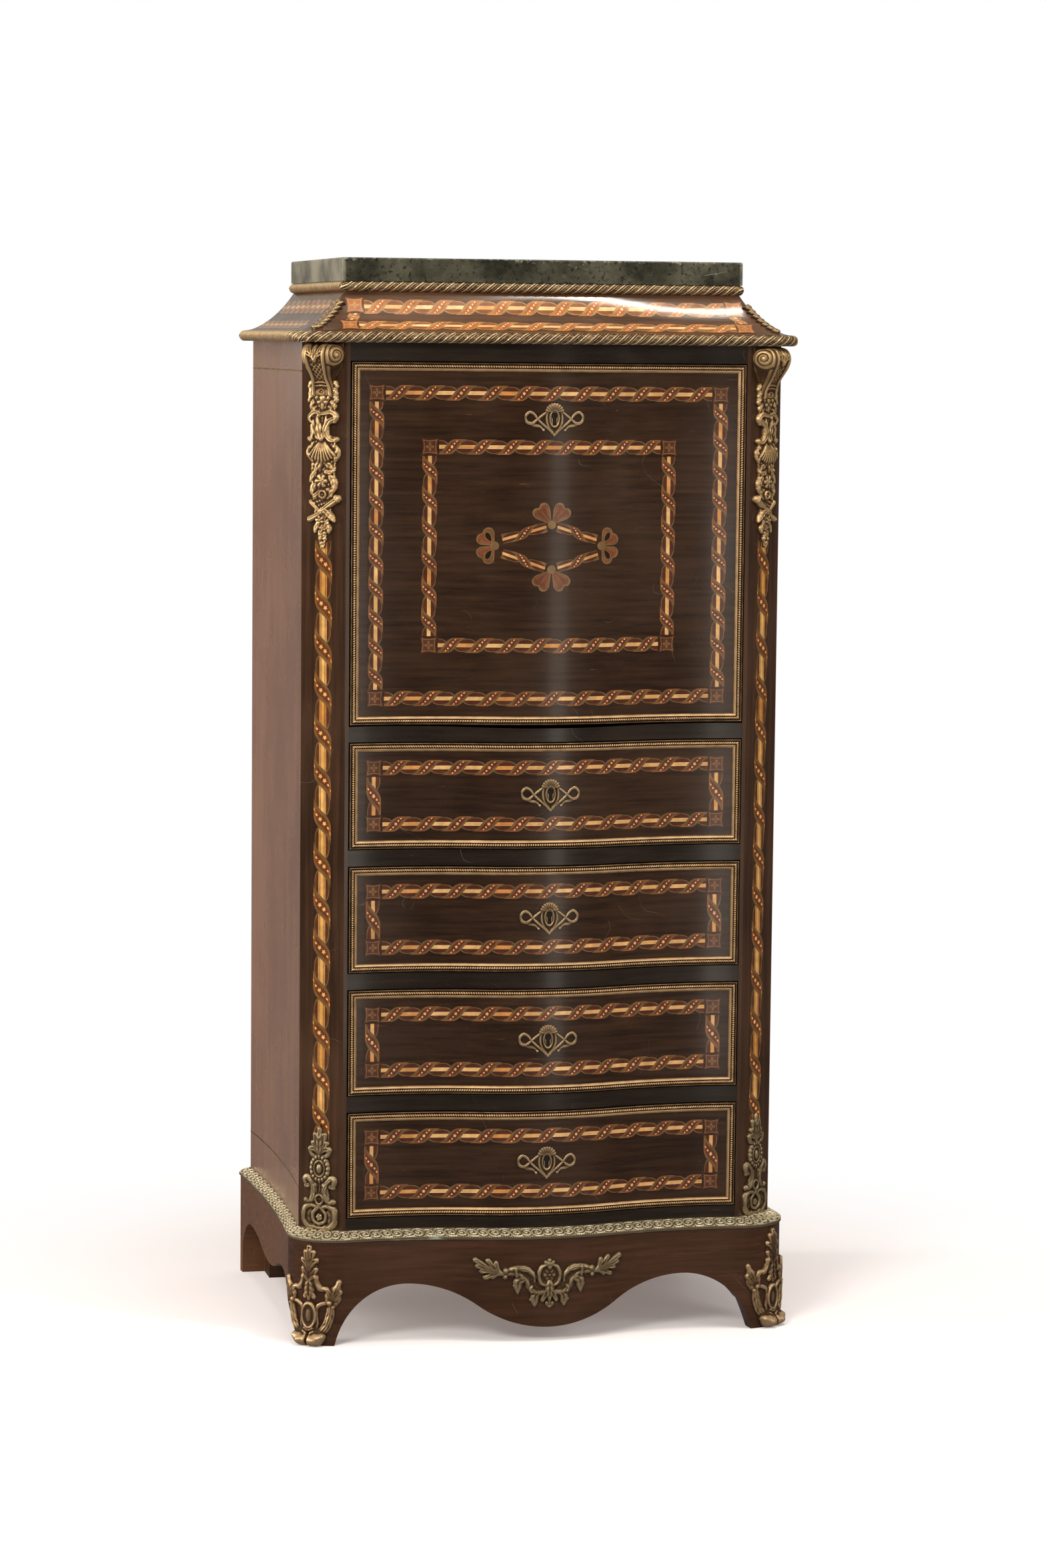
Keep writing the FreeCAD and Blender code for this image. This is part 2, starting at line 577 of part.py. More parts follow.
def make_cornice():
    wires = [cornice_outline(1, 0, CASE_TOP)]
    wires += [cornice_outline(cavetto_spread(s), 0, CAVETTO_BOTTOM + CAVETTO_RISE * s) for s in CAVETTO_STEPS]
    wires.append(cornice_outline(0, 0, MARBLE_BOTTOM))
    cornice = Part.makeLoft(wires, True, True)
    hollow_half = NECK_HALF - CORNICE_WALL
    hollow_low = (-hollow_half, NECK_FRONT + CORNICE_WALL, CASE_TOP)
    cornice = cornice.cut(box(hollow_low, (hollow_half, DEPTH - CORNICE_WALL, MARBLE_BOTTOM)))
    NODES["cornice"] = [cornice]

    lower = rope(1, LOWER_ROPE_RADIUS, CASE_TOP + LOWER_BAND_HEIGHT / 2)
    upper = rope(0, UPPER_ROPE_RADIUS, CAVETTO_TOP + UPPER_BAND_HEIGHT / 2)
    NODES["rope_mouldings"] = [lower, upper]

    marble = box((-MARBLE_HALF, MARBLE_FRONT, MARBLE_BOTTOM), (MARBLE_HALF, DEPTH, HEIGHT))
    seen = [e for e in marble.Edges if e.BoundBox.YMax < DEPTH and e.BoundBox.ZLength > 0]
    seen += [e for e in marble.Edges if e.BoundBox.ZMin > MARBLE_BOTTOM and e.BoundBox.YMin < DEPTH]
    NODES["marble_top"] = [marble.makeFillet(MARBLE_ROUND, seen)]

    sections = []
    for step in SPRIG_STEPS:
        level = CAVETTO_STEPS[step]
        spread = cavetto_spread(level)
        wire = cornice_outline(spread, 0, CAVETTO_BOTTOM + CAVETTO_RISE * level)
        corner = max((e.valueAt(e.FirstParameter) + e.valueAt(e.LastParameter) for e in wire.Edges),
                     key=lambda p: p.x - p.y)
        radius = NECK_RADIUS + (CORNICE_RADIUS - NECK_RADIUS) * spread
        out = Vector(1, -1, 0).normalize()
        along = Vector(1, 1, 0).normalize() * (SPRIG_WIDTH / 2)
        foot = corner * 0.5 + out * (radius * (1 - math.sqrt(0.5)))
        outer = foot + out * SPRIG_RELIEF + UP * SPRIG_RELIEF
        inner = foot - out * SPRIG_WIDTH - UP * SPRIG_WIDTH
        ring = [outer - along, outer + along, inner + along, inner - along]
        sections.append(Part.makePolygon(ring + [ring[0]]))
    sprig = Part.makeLoft(sections, True, True).cut(cornice).cut(lower)
    largest = max(sprig.Solids, key=lambda s: s.Volume)
    NODES["cornice_mounts"] = both_sides(largest)


def hinge_point(x):
    return Vector(x, HINGE_Y, HINGE_Z)


def bush_radius():
    return HINGE_PIN_RADIUS + HINGE_PLAY + BUSH_WALL


def stay_ring(play, start, end):
    """A sector of the right stay's ring about the hinge, grown by play; angles are from +Y towards +Z."""
    inner = STAY_RADIUS - STAY_WIDTH / 2 - play
    outer = STAY_RADIUS + STAY_WIDTH / 2 + play
    middle = (start + end) / 2

    def point(radius, angle):
        turn = math.radians(angle)
        return hinge_point(STAY_X - play) + Vector(0, radius * math.cos(turn), radius * math.sin(turn))

    edges = [
        arc(point(outer, start), point(outer, middle), point(outer, end)),
        line(point(outer, end), point(inner, end)),
        arc(point(inner, end), point(inner, middle), point(inner, start)),
        line(point(inner, start), point(outer, start)),
    ]
    return Part.Face(Part.Wire(edges)).extrude(Vector(STAY_THICK + 2 * play, 0, 0))


def keyhole(z, y0, y1):
    """A round hole with a slot below it, along Y, centred on the desk."""
    hole = Part.makeCylinder(KEYHOLE_RADIUS, y1 - y0, Vector(0, y0, z), Vector(0, 1, 0))
    return hole.fuse(box((-KEYHOLE_SLOT / 2, y0, z - KEYHOLE_DROP), (KEYHOLE_SLOT / 2, y1, z)))


def escutcheon(z):
    """A lozenge-shaped keyhole plate that follows the bowed face."""
    reach = ESCUTCHEON_HALF
    rise = ESCUTCHEON_RISE
    half = [(0, rise), (0.25 * reach, 0.75 * rise), (0.35 * reach, 0.4 * rise), (reach, 0.12 * rise)]
    half += [(x, -h) for x, h in reversed(half)]
    plate = mirrored_outline([(x, z + h) for x, h in half], -DEPTH).extrude(Vector(0, 2 * DEPTH, 0))
    skin = bowed_skin(reach, 0, ESCUTCHEON_THICK, z - rise, z + rise)
    return skin.common(plate).cut(keyhole(z, -DEPTH, DEPTH))


def frame_moulding(z0, z1):
    """The mitred frame round a front, standing forward of its face."""
    ring = bowed_skin(MOULD_HALF, 0, MOULD_PROUD, z0, z1)
    inner = MOULD_HALF - MOULD_WIDTH
    return ring.cut(box((-inner, -DEPTH, z0 + MOULD_WIDTH), (inner, DEPTH, z1 - MOULD_WIDTH)))


def locked_front(z0, z1, back, key_z):
    """A bowed front with its lock let into the back. Returns the front, the lock case and the bolt."""
    top = z1 - EDGE_GAP
    front = bowed_board(PANEL_HALF, 0, back, z0 + EDGE_GAP, top)
    case_top = top - LOCK_COVER
    case = box((-LOCK_HALF, back - LOCK_DEPTH, key_z - LOCK_BELOW_KEY), (LOCK_HALF, back, case_top))
    front = front.cut(case).cut(bolt_slot(back, case_top, top, BOLT_PLAY))
    front = front.cut(keyhole(key_z, -DEPTH, back - LOCK_DEPTH))
    bolt_top = top - BOLT_SINK
    bolt = bolt_slot(back, bolt_top - BOLT_LENGTH, bolt_top, 0)
    case = case.cut(bolt_slot(back, bolt_top - BOLT_LENGTH - BOLT_PLAY, case_top, BOLT_PLAY))
    return front, case, bolt


def make_fall_front():
    key_z = FLAP_TOP - FLAP_KEY_DROP
    panel, lock, bolt = locked_front(FLAP_BOTTOM, FLAP_TOP, FLAP_BACK, key_z)
    pin_start = OPENING_HALF + BUSH_LENGTH - HINGE_PIN_LENGTH
    pin = Part.makeCylinder(HINGE_PIN_RADIUS, HINGE_PIN_LENGTH - SLIDE_GAP, hinge_point(pin_start), Vector(1, 0, 0))
    pins = both_sides(pin)
    for each in pins:
        panel = panel.cut(each)
    NODES["fall_front_panel"] = [panel]
    NODES["flap_pivots"] = pins
    NODES["fall_front_lock"] = [lock]
    NODES["fall_front_lock_bolt"] = [bolt]
    NODES["fall_front_moulding"] = [frame_moulding(FLAP_BOTTOM, FLAP_TOP)]
    NODES["fall_front_escutcheon"] = [escutcheon(key_z)]
    leather_z = FLAP_BOTTOM + LEATHER_RISE
    leather_high = (LEATHER_HALF, FLAP_BACK + LEATHER_THICK, leather_z + LEATHER_HEIGHT)
    NODES["writing_leather"] = [box((-LEATHER_HALF, FLAP_BACK, leather_z), leather_high)]

    stay = stay_ring(0, STAY_TAIL_ANGLE, 90).cut(box((0, -FAR, 0), (FAR, FLAP_BACK, FAR)))
    NODES["quadrant_stays"] = both_sides(stay)

    bush = Part.makeCylinder(bush_radius(), BUSH_LENGTH, hinge_point(OPENING_HALF), Vector(1, 0, 0))
    bore = Part.makeCylinder(HINGE_PIN_RADIUS + HINGE_PLAY, BUSH_LENGTH, hinge_point(OPENING_HALF), Vector(1, 0, 0))
    NODES["hinge_bushes"] = both_sides(bush.cut(bore))

    turn = math.radians(KEEPER_ANGLE)
    middle = hinge_point(0) + Vector(0, STAY_RADIUS * math.cos(turn), STAY_RADIUS * math.sin(turn))
    low = (STAY_X - STAY_THICK, middle.y - KEEPER_DEPTH / 2, middle.z - KEEPER_SIZE / 2)
    keeper = box(low, (OPENING_HALF, middle.y + KEEPER_DEPTH / 2, middle.z + KEEPER_SIZE / 2))
    NODES["stay_keepers"] = both_sides(keeper.cut(stay_ring(STAY_PLAY, 0, 90 + KEEPER_ANGLE / 2)))


def make_drawers():
    for index in range(1, DRAWER_COUNT + 1):
        low = drawer_floor(index)
        high = low + DRAWER_HEIGHT
        key_z = (low + high) / 2
        front, lock, bolt = locked_front(low, high, DRAWER_BACK, key_z)
        name = f"drawer_{index}_"
        NODES[name + "front"] = [front]
        NODES[name + "lock"] = [lock]
        NODES[name + "lock_bolt"] = [bolt]
        NODES[name + "moulding"] = [frame_moulding(low, high)]
        NODES[name + "escutcheon"] = [escutcheon(key_z)]
        NODES[name + "box"] = drawer_box(low + BOX_LIFT)


def drawer_box(z):
    """Two sides, a back and a bottom that fill in behind a drawer front."""
    rear = DRAWER_BACK + BOX_DEPTH
    inner = BOX_HALF - BOX_SIDE
    side = box((inner, DRAWER_BACK, z), (BOX_HALF, rear, z + BOX_HEIGHT))
    floor_z = z + BOX_FLOOR_LIFT
    back = box((-inner, rear - BOX_SIDE, floor_z), (inner, rear, z + BOX_HEIGHT))
    floor = box((-inner, DRAWER_BACK, floor_z), (inner, rear - BOX_SIDE, floor_z + BOX_FLOOR))
    return both_sides(side) + [back, floor]


def make_nest():
    low = DESK_FLOOR_Z
    high = low + NEST_HEIGHT
    shelf = low + NEST_SHELF_RISE
    inner = NEST_HALF - NEST_BOARD
    thin = NEST_BOARD / 2
    side = box((inner, NEST_FRONT, low), (NEST_HALF, INSIDE_BACK, high))
    boards = both_sides(side)
    boards.append(box((-inner, NEST_FRONT, shelf), (inner, INSIDE_BACK, shelf + NEST_BOARD)))
    boards.append(box((-inner, NEST_FRONT, high - NEST_BOARD), (inner, INSIDE_BACK, high)))
    boards.append(box((-thin, NEST_FRONT, low), (thin, INSIDE_BACK, shelf)))
    divider_low = (PIGEONHOLE_X - thin, NEST_FRONT, shelf + NEST_BOARD)
    boards += both_sides(box(divider_low, (PIGEONHOLE_X + thin, INSIDE_BACK, high - NEST_BOARD)))
    NODES["nest_case"] = boards

    drawer = inner_drawer(thin + INNER_GAP, inner - INNER_GAP, low + INNER_GAP, shelf - INNER_GAP)
    NODES["inner_drawer_right"] = drawer
    NODES["inner_drawer_left"] = [s.mirror(Vector(0, 0, 0), Vector(1, 0, 0)) for s in drawer]


def inner_drawer(x0, x1, z0, z1):
    """A small drawer: a front with a turned knob, two sides, a back and a bottom."""
    inside = NEST_FRONT + INNER_WALL
    rear = inside + INNER_BOX_DEPTH
    front = box((x0, NEST_FRONT, z0), (x1, inside, z1))
    middle = Vector((x0 + x1) / 2, NEST_FRONT, (z0 + z1) / 2)
    neck = Part.makeCylinder(KNOB_NECK, KNOB_REACH, middle, Vector(0, -1, 0))
    knob = Part.makeSphere(KNOB_RADIUS, middle - Vector(0, KNOB_REACH, 0))
    front = front.fuse(neck).fuse(knob)
    top = z0 + INNER_SIDE_HEIGHT
    left = box((x0, inside, z0), (x0 + INNER_WALL, rear, top))
    right = box((x1 - INNER_WALL, inside, z0), (x1, rear, top))
    back = box((x0 + INNER_WALL, rear - INNER_WALL, z0), (x1 - INNER_WALL, rear, top))
    floor = box((x0 + INNER_WALL, inside, z0), (x1 - INNER_WALL, rear - INNER_WALL, z0 + INNER_WALL / 2))
    return [front, left, right, back, floor]


def make_mounts():
    wings = [(0, 1), (0.12, 0.84), (0.3, 0.54), (0.56, 0.6), (0.79, 0.8), (0.98, 0.96), (1, 0.8), (0.85, 0.6)]
    wings += [(0.6, 0.42), (0.42, 0.33), (0.3, 0.18), (0.12, 0.03), (0, 0)]
    half = [(x * APRON_MOUNT_HALF, APRON_MOUNT_Z + h * APRON_MOUNT_HEIGHT) for x, h in wings]
    plate = mirrored_outline(half, -DEPTH).extrude(Vector(0, 2 * DEPTH, 0))
    mount_top = APRON_MOUNT_Z + APRON_MOUNT_HEIGHT
    skin = bowed_skin(APRON_MOUNT_HALF, -PLINTH_OUT, APRON_MOUNT_RELIEF, APRON_MOUNT_Z, mount_top)
    NODES["apron_mount"] = [skin.common(plate)]

    spray = [(0, 1), (0.4, 0.9), (0.64, 0.77), (0.48, 0.68), (0.72, 0.55), (0.56, 0.43), (0.96, 0.36), (1, 0.21)]
    spray += [(0.64, 0.15), (1, 0.08), (0.96, 0.01), (0, 0)]
    half = [(x * LOWER_MOUNT_HALF, CASE_BOTTOM + h * LOWER_MOUNT_HEIGHT) for x, h in spray]
    lower = mirrored_outline(half, 0).extrude(Vector(0, -LOWER_MOUNT_RELIEF, 0))
    NODES["lower_corner_mounts"] = both_sides(cant_frame(lower))

    top = CASE_TOP - EDGE_GAP
    tail_top = top - CORBEL_DROP
    tail = UPPER_MOUNT_DROP - CORBEL_DROP
    drop = [(0.9, 0), (1, 0.1), (0.85, 0.2), (1, 0.32), (0.8, 0.42), (1.0, 0.6), (0.8, 0.72), (0.5, 0.85), (0, 1)]
    half = [(x * CORBEL_HALF, tail_top - s * tail) for x, s in drop]
    leaf = mirrored_outline(half, 0).extrude(Vector(0, -UPPER_MOUNT_RELIEF, 0))
    eye_z = top - VOLUTE_RADIUS
    eye_y = VOLUTE_RADIUS - CORBEL_REACH
    profile = [(0, top), (eye_y, top), (-CORBEL_REACH, eye_z), (eye_y, eye_z - VOLUTE_RADIUS)]
    profile += [(-UPPER_MOUNT_RELIEF, tail_top), (0, tail_top)]
    corbel = polygon([Vector(-CORBEL_HALF, y, h) for y, h in profile]).extrude(Vector(2 * CORBEL_HALF, 0, 0))
    volute = Part.makeCylinder(VOLUTE_RADIUS, 2 * VOLUTE_HALF, Vector(-VOLUTE_HALF, eye_y, eye_z), Vector(1, 0, 0))
    upper = corbel.fuse(volute).fuse(leaf)
    NODES["upper_corner_mounts"] = both_sides(cant_frame(upper))

    NODES["foot_mounts"] = both_sides(foot_mount())


def foot_mount():
    """A leafy shoe on the right front foot, ending in a rolled toe."""
    start = Vector(FOOT_SEAM, front_y(FOOT_SEAM) - PLINTH_OUT, 0)
    end = Vector(PLINTH_HALF, PLINTH_CORNER_Y, 0)
    chord = end - start
    along = Vector(chord).normalize()
    out = Vector(chord.y, -chord.x, 0).normalize()
    middle = (start + end) * 0.5
    crest = middle + out * FOOT_BULGE
    step = out * FOOT_MOUNT_RELIEF
    plan = [arc(start + step, crest + step, end + step), line(end + step, end)]
    plan += [arc(end, crest, start), line(start, start + step)]
    skin = Part.Face(Part.Wire(plan)).extrude(UP * FOOT_MOUNT_HEIGHT)
    branch = [(0, 1), (0.12, 0.84), (0.25, 0.72), (0.15, 0.6), (0.4, 0.5), (0.75, 0.6), (0.6, 0.3), (0.45, 0), (0, 0)]
    reach = chord.Length / 2
    shape = [middle + along * (x * reach) + UP * (h * FOOT_MOUNT_HEIGHT) for x, h in branch]
    shape += [middle - along * (x * reach) + UP * (h * FOOT_MOUNT_HEIGHT) for x, h in reversed(branch) if x > 0]
    prism = polygon(shape).extrude(out * (FOOT_BULGE + 2 * FOOT_MOUNT_RELIEF))
    toe_start = crest + step - along * TOE_HALF + UP * TOE_RADIUS
    toe = Part.makeCylinder(TOE_RADIUS, 2 * TOE_HALF, toe_start, along)
    shoe = skin.common(prism).cut(front_arch()).cut(side_arch())
    toe = toe.cut(front_foot())
    return shoe.fuse(max(toe.Solids, key=lambda s: s.Volume))


def export_nodes():
    os.makedirs("parts", exist_ok=True)
    for name, solids in NODES.items():
        shape = Part.makeCompound([s for piece in solids for s in piece.Solids])
        shape.translate(Vector(0, -MIDDLE_Y, 0))
        shape.exportStep(f"parts/{name}.step")
        print(name, len(shape.Solids), "solids, valid" if shape.isValid() else "solids, NOT VALID")


make_plinth()
make_case()
make_cornice()
make_fall_front()
make_drawers()
make_nest()
make_mounts()
export_nodes()
print(len(NODES), "nodes")
print("hinge", 0, HINGE_Y - MIDDLE_Y, HINGE_Z, "desk floor", DESK_FLOOR_Z, "middle", MIDDLE_Y, "height", HEIGHT)
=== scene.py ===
"""Dresses a serpentine fall-front writing desk: veneers, ribbon inlay, gilt bronze mounts, ropes and marble.

Shapes are worked out in millimetres on the desk's own plan, where y = 0 is at the outer ends of the bowed
front and +Z is up, and are carried to the frame's metres when a piece is made.
"""
import logging
import math
from collections.abc import Callable
from dataclasses import dataclass, field
from enum import Enum

import bpy
import numpy as np
from mathutils import Matrix


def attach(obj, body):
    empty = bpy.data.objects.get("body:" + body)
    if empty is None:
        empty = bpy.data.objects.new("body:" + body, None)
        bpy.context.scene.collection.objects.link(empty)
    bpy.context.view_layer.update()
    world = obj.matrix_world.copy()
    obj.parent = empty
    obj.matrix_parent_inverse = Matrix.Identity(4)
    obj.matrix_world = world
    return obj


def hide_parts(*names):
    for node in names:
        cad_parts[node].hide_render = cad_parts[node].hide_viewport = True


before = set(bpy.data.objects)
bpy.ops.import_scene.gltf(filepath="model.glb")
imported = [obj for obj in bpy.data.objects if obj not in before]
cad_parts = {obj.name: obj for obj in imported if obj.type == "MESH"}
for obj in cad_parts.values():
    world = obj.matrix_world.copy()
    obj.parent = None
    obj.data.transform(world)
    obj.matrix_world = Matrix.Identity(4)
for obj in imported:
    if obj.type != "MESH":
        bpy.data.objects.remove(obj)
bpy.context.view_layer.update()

LOG = logging.getLogger("desk")
Array = np.ndarray
Colour = tuple[float, float, float]
Point = tuple[float, float]
Spot = tuple[float, float, float]
Place = Callable[[Array, Array, Array], Array]
Tree = bpy.types.NodeTree

MM = 0.001
MIDDLE_Y = 197.75
DEPTH = 445.0
PLINTH_TOP = 136.0
CASE_BOTTOM = 146.0
DRAWER_LOW = 163.0
DRAWER_HEIGHT = 137.0
DRAWER_PITCH = 160.3
FLAP_LOW = 804.2
FLAP_HIGH = 1267.6
CASE_TOP = 1292.0
COVE_LOW = 1306.0
COVE_RISE = 51.0
MARBLE_LOW = 1370.0
FRONT_HALF = 266.0
BODY_HALF = 316.5
CANT_BACK = 40.0
SIDE_HOLLOW = 7.5
PANEL_HALF = 258.0
FRAME_HALF = 259.5
PANEL_GAP = 1.2
SKIN = 0.5
INLAY_LIFT = 0.15


# Shapes


@dataclass(frozen=True)
class Serpentine:
    """Plan of the bowed front: a convex arc in the middle that runs into a concave arc on each flank."""

    crown_out: float = 20.5
    flank_in: float = 4.2
    flank_x: float = 205.0
    flank_share: float = 0.5562

    def depth(self, x: Array) -> Array:
        """Depth of the front at x.

        Args:
            x: distances from the middle.

        Returns:
            y on the convex circle inside the turn, and on the concave circle outside it.
        """
        fall = self.crown_out + self.flank_in
        radii = (self.flank_x**2 + fall**2) / (2 * fall)
        flank = radii * self.flank_share
        crown = radii - flank
        out = np.abs(x)
        inner = crown - self.crown_out - np.sqrt(np.maximum(crown**2 - out**2, 0))
        outer = self.flank_in - flank + np.sqrt(np.maximum(flank**2 - (out - self.flank_x) ** 2, 0))
        return np.where(out <= self.flank_x * crown / radii, inner, outer)


FRONT = Serpentine()


@dataclass
class Shape:
    """Points and faces of one or more closed shells, with an optional map and relief value for each point."""

    points: Array
    quads: Array
    tris: Array = field(default_factory=lambda: np.zeros((0, 3), int))
    uv: Array | None = None
    relief: Array | None = None

    def outward(self) -> "Shape":
        """Turns all faces over where the shell's signed volume is negative.

        Returns:
            The same shape, facing outwards.
        """
        halves = [self.quads[:, :3], self.quads[:, [0, 2, 3]], self.tris]
        a, b, c = np.moveaxis(self.points[np.concatenate(halves)], 1, 0)
        if np.einsum("ij,ij->", a, np.cross(b, c)) < 0:
            self.quads = self.quads[:, ::-1]
            self.tris = self.tris[:, ::-1]
        return self

    def mirrored(self) -> "Shape":
        """The shape across the desk's middle plane, still facing outwards."""
        flip = np.array([-1.0, 1.0, 1.0])
        return Shape(self.points * flip, self.quads[:, ::-1], self.tris[:, ::-1], self.uv, self.relief)

    def pair(self) -> "Shape":
        """The shape and its mirror image as one."""
        return Shape.joined([self, self.mirrored()])

    @staticmethod
    def joined(shapes: list["Shape"]) -> "Shape":
        """Puts several shapes into one.

        Args:
            shapes: shapes with the same kinds of values.

        Returns:
            One shape with all their shells.
        """
        starts = np.cumsum([0] + [len(s.points) for s in shapes[:-1]])
        quads = np.concatenate([s.quads + n for s, n in zip(shapes, starts)])
        tris = np.concatenate([s.tris + n for s, n in zip(shapes, starts)])
        uv = np.concatenate([s.uv for s in shapes]) if shapes[0].uv is not None else None
        relief = np.concatenate([s.relief for s in shapes]) if shapes[0].relief is not None else None
        return Shape(np.concatenate([s.points for s in shapes]), quads, tris, uv, relief)


def grid_quads(rows: int, cols: int, loop_rows: bool = False, loop_cols: bool = False) -> Array:
    """Faces of a grid of points kept row by row.

    Args:
        rows, cols: number of rows and columns.
        loop_rows, loop_cols: join the last row or column to the first.

    Returns:
        Quads as rows of four point numbers.
    """
    r = np.arange(rows if loop_rows else rows - 1)[:, None]
    c = np.arange(cols if loop_cols else cols - 1)[None, :]
    r1 = (r + 1) % rows
    c1 = (c + 1) % cols
    return np.stack([r * cols + c, r * cols + c1, r1 * cols + c1, r1 * cols + c], -1).reshape(-1, 4)


def slab(outer: Array, inner: Array, uv: Array | None = None) -> Shape:
    """A closed plate between two grids of points, with walls round its four edges.

    Args:
        outer, inner: rows x columns x 3 points of the seen and the hidden face.
        uv: rows x columns x 2 map of both faces.

    Returns:
        The plate.
    """
    rows, cols = outer.shape[:2]
    count = rows * cols
    face = grid_quads(rows, cols)
    top, right = np.arange(cols), np.arange(1, rows) * cols + cols - 1
    bottom, left = (rows - 1) * cols + np.arange(cols - 2, -1, -1), np.arange(rows - 2, 0, -1) * cols
    ring = np.concatenate([top, right, bottom, left])
    after = np.roll(ring, -1)
    walls = np.stack([after, ring, ring + count, after + count], -1)
    points = np.concatenate([outer.reshape(-1, 3), inner.reshape(-1, 3)])
    both = None if uv is None else np.concatenate([uv.reshape(-1, 2)] * 2)
    return Shape(points, np.concatenate([face, face[:, ::-1] + count, walls]), uv=both).outward()


def sheet(place: Place, a: Array, b: Array, lift: float, thick: float,
          uv: tuple[Array, Array] | None = None) -> Shape:
    """A thin closed sheet on a carrying face.

    Args:
        place: carries across, height and relief to points.
        a, b: places across and up on a grid.
        lift: how far its seen face stands out of the carrying face.
        thick: its thickness.
        uv: both coordinates of its map.

    Returns:
        The sheet: the grid at lift and again at lift less its thickness.
    """
    top = np.full_like(a, lift)
    mapped = None if uv is None else np.stack(np.broadcast_arrays(*uv), -1)
    return slab(place(a, b, top), place(a, b, top - thick), mapped)


def run_of(points: Array) -> Array:
    """Distance run along a line up to each of its points."""
    return np.concatenate([[0], np.cumsum(np.linalg.norm(np.diff(points, axis=0), axis=1))])


def bowed_line(start: Point | Array, end: Point | Array, sag: float, count: int) -> Array:
    """Points on a circular arc between two plan points.

    Args:
        start, end: first and last point.
        sag: height of the arc over its chord, to the right of the way from start to end.
        count: number of points.

    Returns:
        count x 2 points; a straight line where sag is 0.
    """
    start, end = np.asarray(start, float), np.asarray(end, float)
    chord = end - start
    half = np.linalg.norm(chord) / 2
    along = chord / (2 * half)
    out = np.array([along[1], -along[0]])
    if sag == 0:
        return start + np.linspace(0, 1, count)[:, None] * chord
    radius = (half**2 + sag**2) / (2 * sag)
    turn = math.asin(half / radius) * np.linspace(-1, 1, count)
    rise = radius * np.cos(turn) - (radius - sag)
    return (start + end) / 2 + np.outer(radius * np.sin(turn), along) + np.outer(rise, out)


def outward_of(points: Array) -> Array:
    """Normals that point away from the desk along an open plan line from its left to its right.

    Args:
        points: n x 2 points.

    Returns:
        n x 2 normals, each a quarter turn from the line's way.
    """
    way = np.gradient(points, axis=0)
    way /= np.linalg.norm(way, axis=1, keepdims=True) + 1e-12
    return np.stack([way[:, 1], -way[:, 0]], -1)


def even(points: Array, step: float) -> Array:
    """The same line with its points at even distances.

    Args:
        points: n x k points.
        step: about how far apart they stand.

    Returns:
        m x k points, found by linear interpolation along the run.
    """
    run = run_of(points)
    stops = np.linspace(0, run[-1], max(int(run[-1] / step), 2) + 1)
    return np.stack([np.interp(stops, run, axis) for axis in points.T], -1)


def flowing(knots: list[Point], step: float = 0.5) -> Array:
    """A smooth line through a few points, as a Catmull-Rom spline.

    Args:
        knots: the points.
        step: about how far apart the new points stand.

    Returns:
        n x 2 points: each span is a cubic of its four nearest knots.
    """
    p = np.array(knots, float)
    p = np.concatenate([[2 * p[0] - p[1]], p, [2 * p[-1] - p[-2]]])
    t = np.linspace(0, 1, 25)[:-1, None, None]
    a, b, c, d = p[:-3], p[1:-2], p[2:-1], p[3:]
    spans = 0.5 * (2 * b + (c - a) * t + (2 * a - 5 * b + 4 * c - d) * t**2 + (3 * b - a - 3 * c + d) * t**3)
    line = np.concatenate([np.swapaxes(spans, 0, 1).reshape(-1, 2), p[-2:-1]])
    return even(line, step)


def both_ways(right: Array, front: Array) -> Array:
    """Open plan line from the left back to the right back, from the right half's points and the front's."""
    return np.concatenate([(right * [-1, 1])[::-1], front, right])


def case_plan(half: float, shift: float, corner: Point, bulge: float, counts: tuple[int, int, int]) -> Array:
    """Open plan line of the case or the plinth from its left back to its right back.

    Args:
        half: half width of the bowed front.
        shift: moves the front back.
        corner: where the right corner face meets the side.
        bulge: rounds the corner face outwards.
        counts: points on each side, each corner and the front.

    Returns:
        n x 2 points: the serpentine, the corner faces and sides hollowed by a shallow arc.
    """
    x = np.linspace(-half, half, counts[2])
    front = np.stack([x, shift + FRONT.depth(x)], -1)
    face = bowed_line(front[-1], corner, bulge, counts[1] + 1)[1:]
    side = bowed_line(corner, (corner[0], DEPTH), -SIDE_HOLLOW, counts[0] + 1)[1:]
    return both_ways(np.concatenate([face, side]), front)


def on_front(shift: float, rise: float = 0.0) -> Place:
    """Places relief on the bowed front.

    Args:
        shift: how far back the carrying face stands.
        rise: what is added to each height.

    Returns:
        A function of across, height and relief that gives points.
    """
    return lambda u, w, h: np.stack([u, FRONT.depth(u) + shift - h, w + rise], -1)


def on_cant(u: Array, w: Array, h: Array) -> Array:
    """Places relief on the right canted corner.

    Args:
        u: distance across the corner from its middle.
        w: height over the floor.
        h: distance out of the face.

    Returns:
        Points.
    """
    start = np.array([FRONT_HALF, float(FRONT.depth(np.array(FRONT_HALF)))])
    end = np.array([BODY_HALF, CANT_BACK])
    along = (end - start) / np.linalg.norm(end - start)
    middle = (start + end) / 2
    return np.stack([middle[0] + along[0] * u + along[1] * h, middle[1] + along[1] * u - along[0] * h, w], -1)


# Nodes


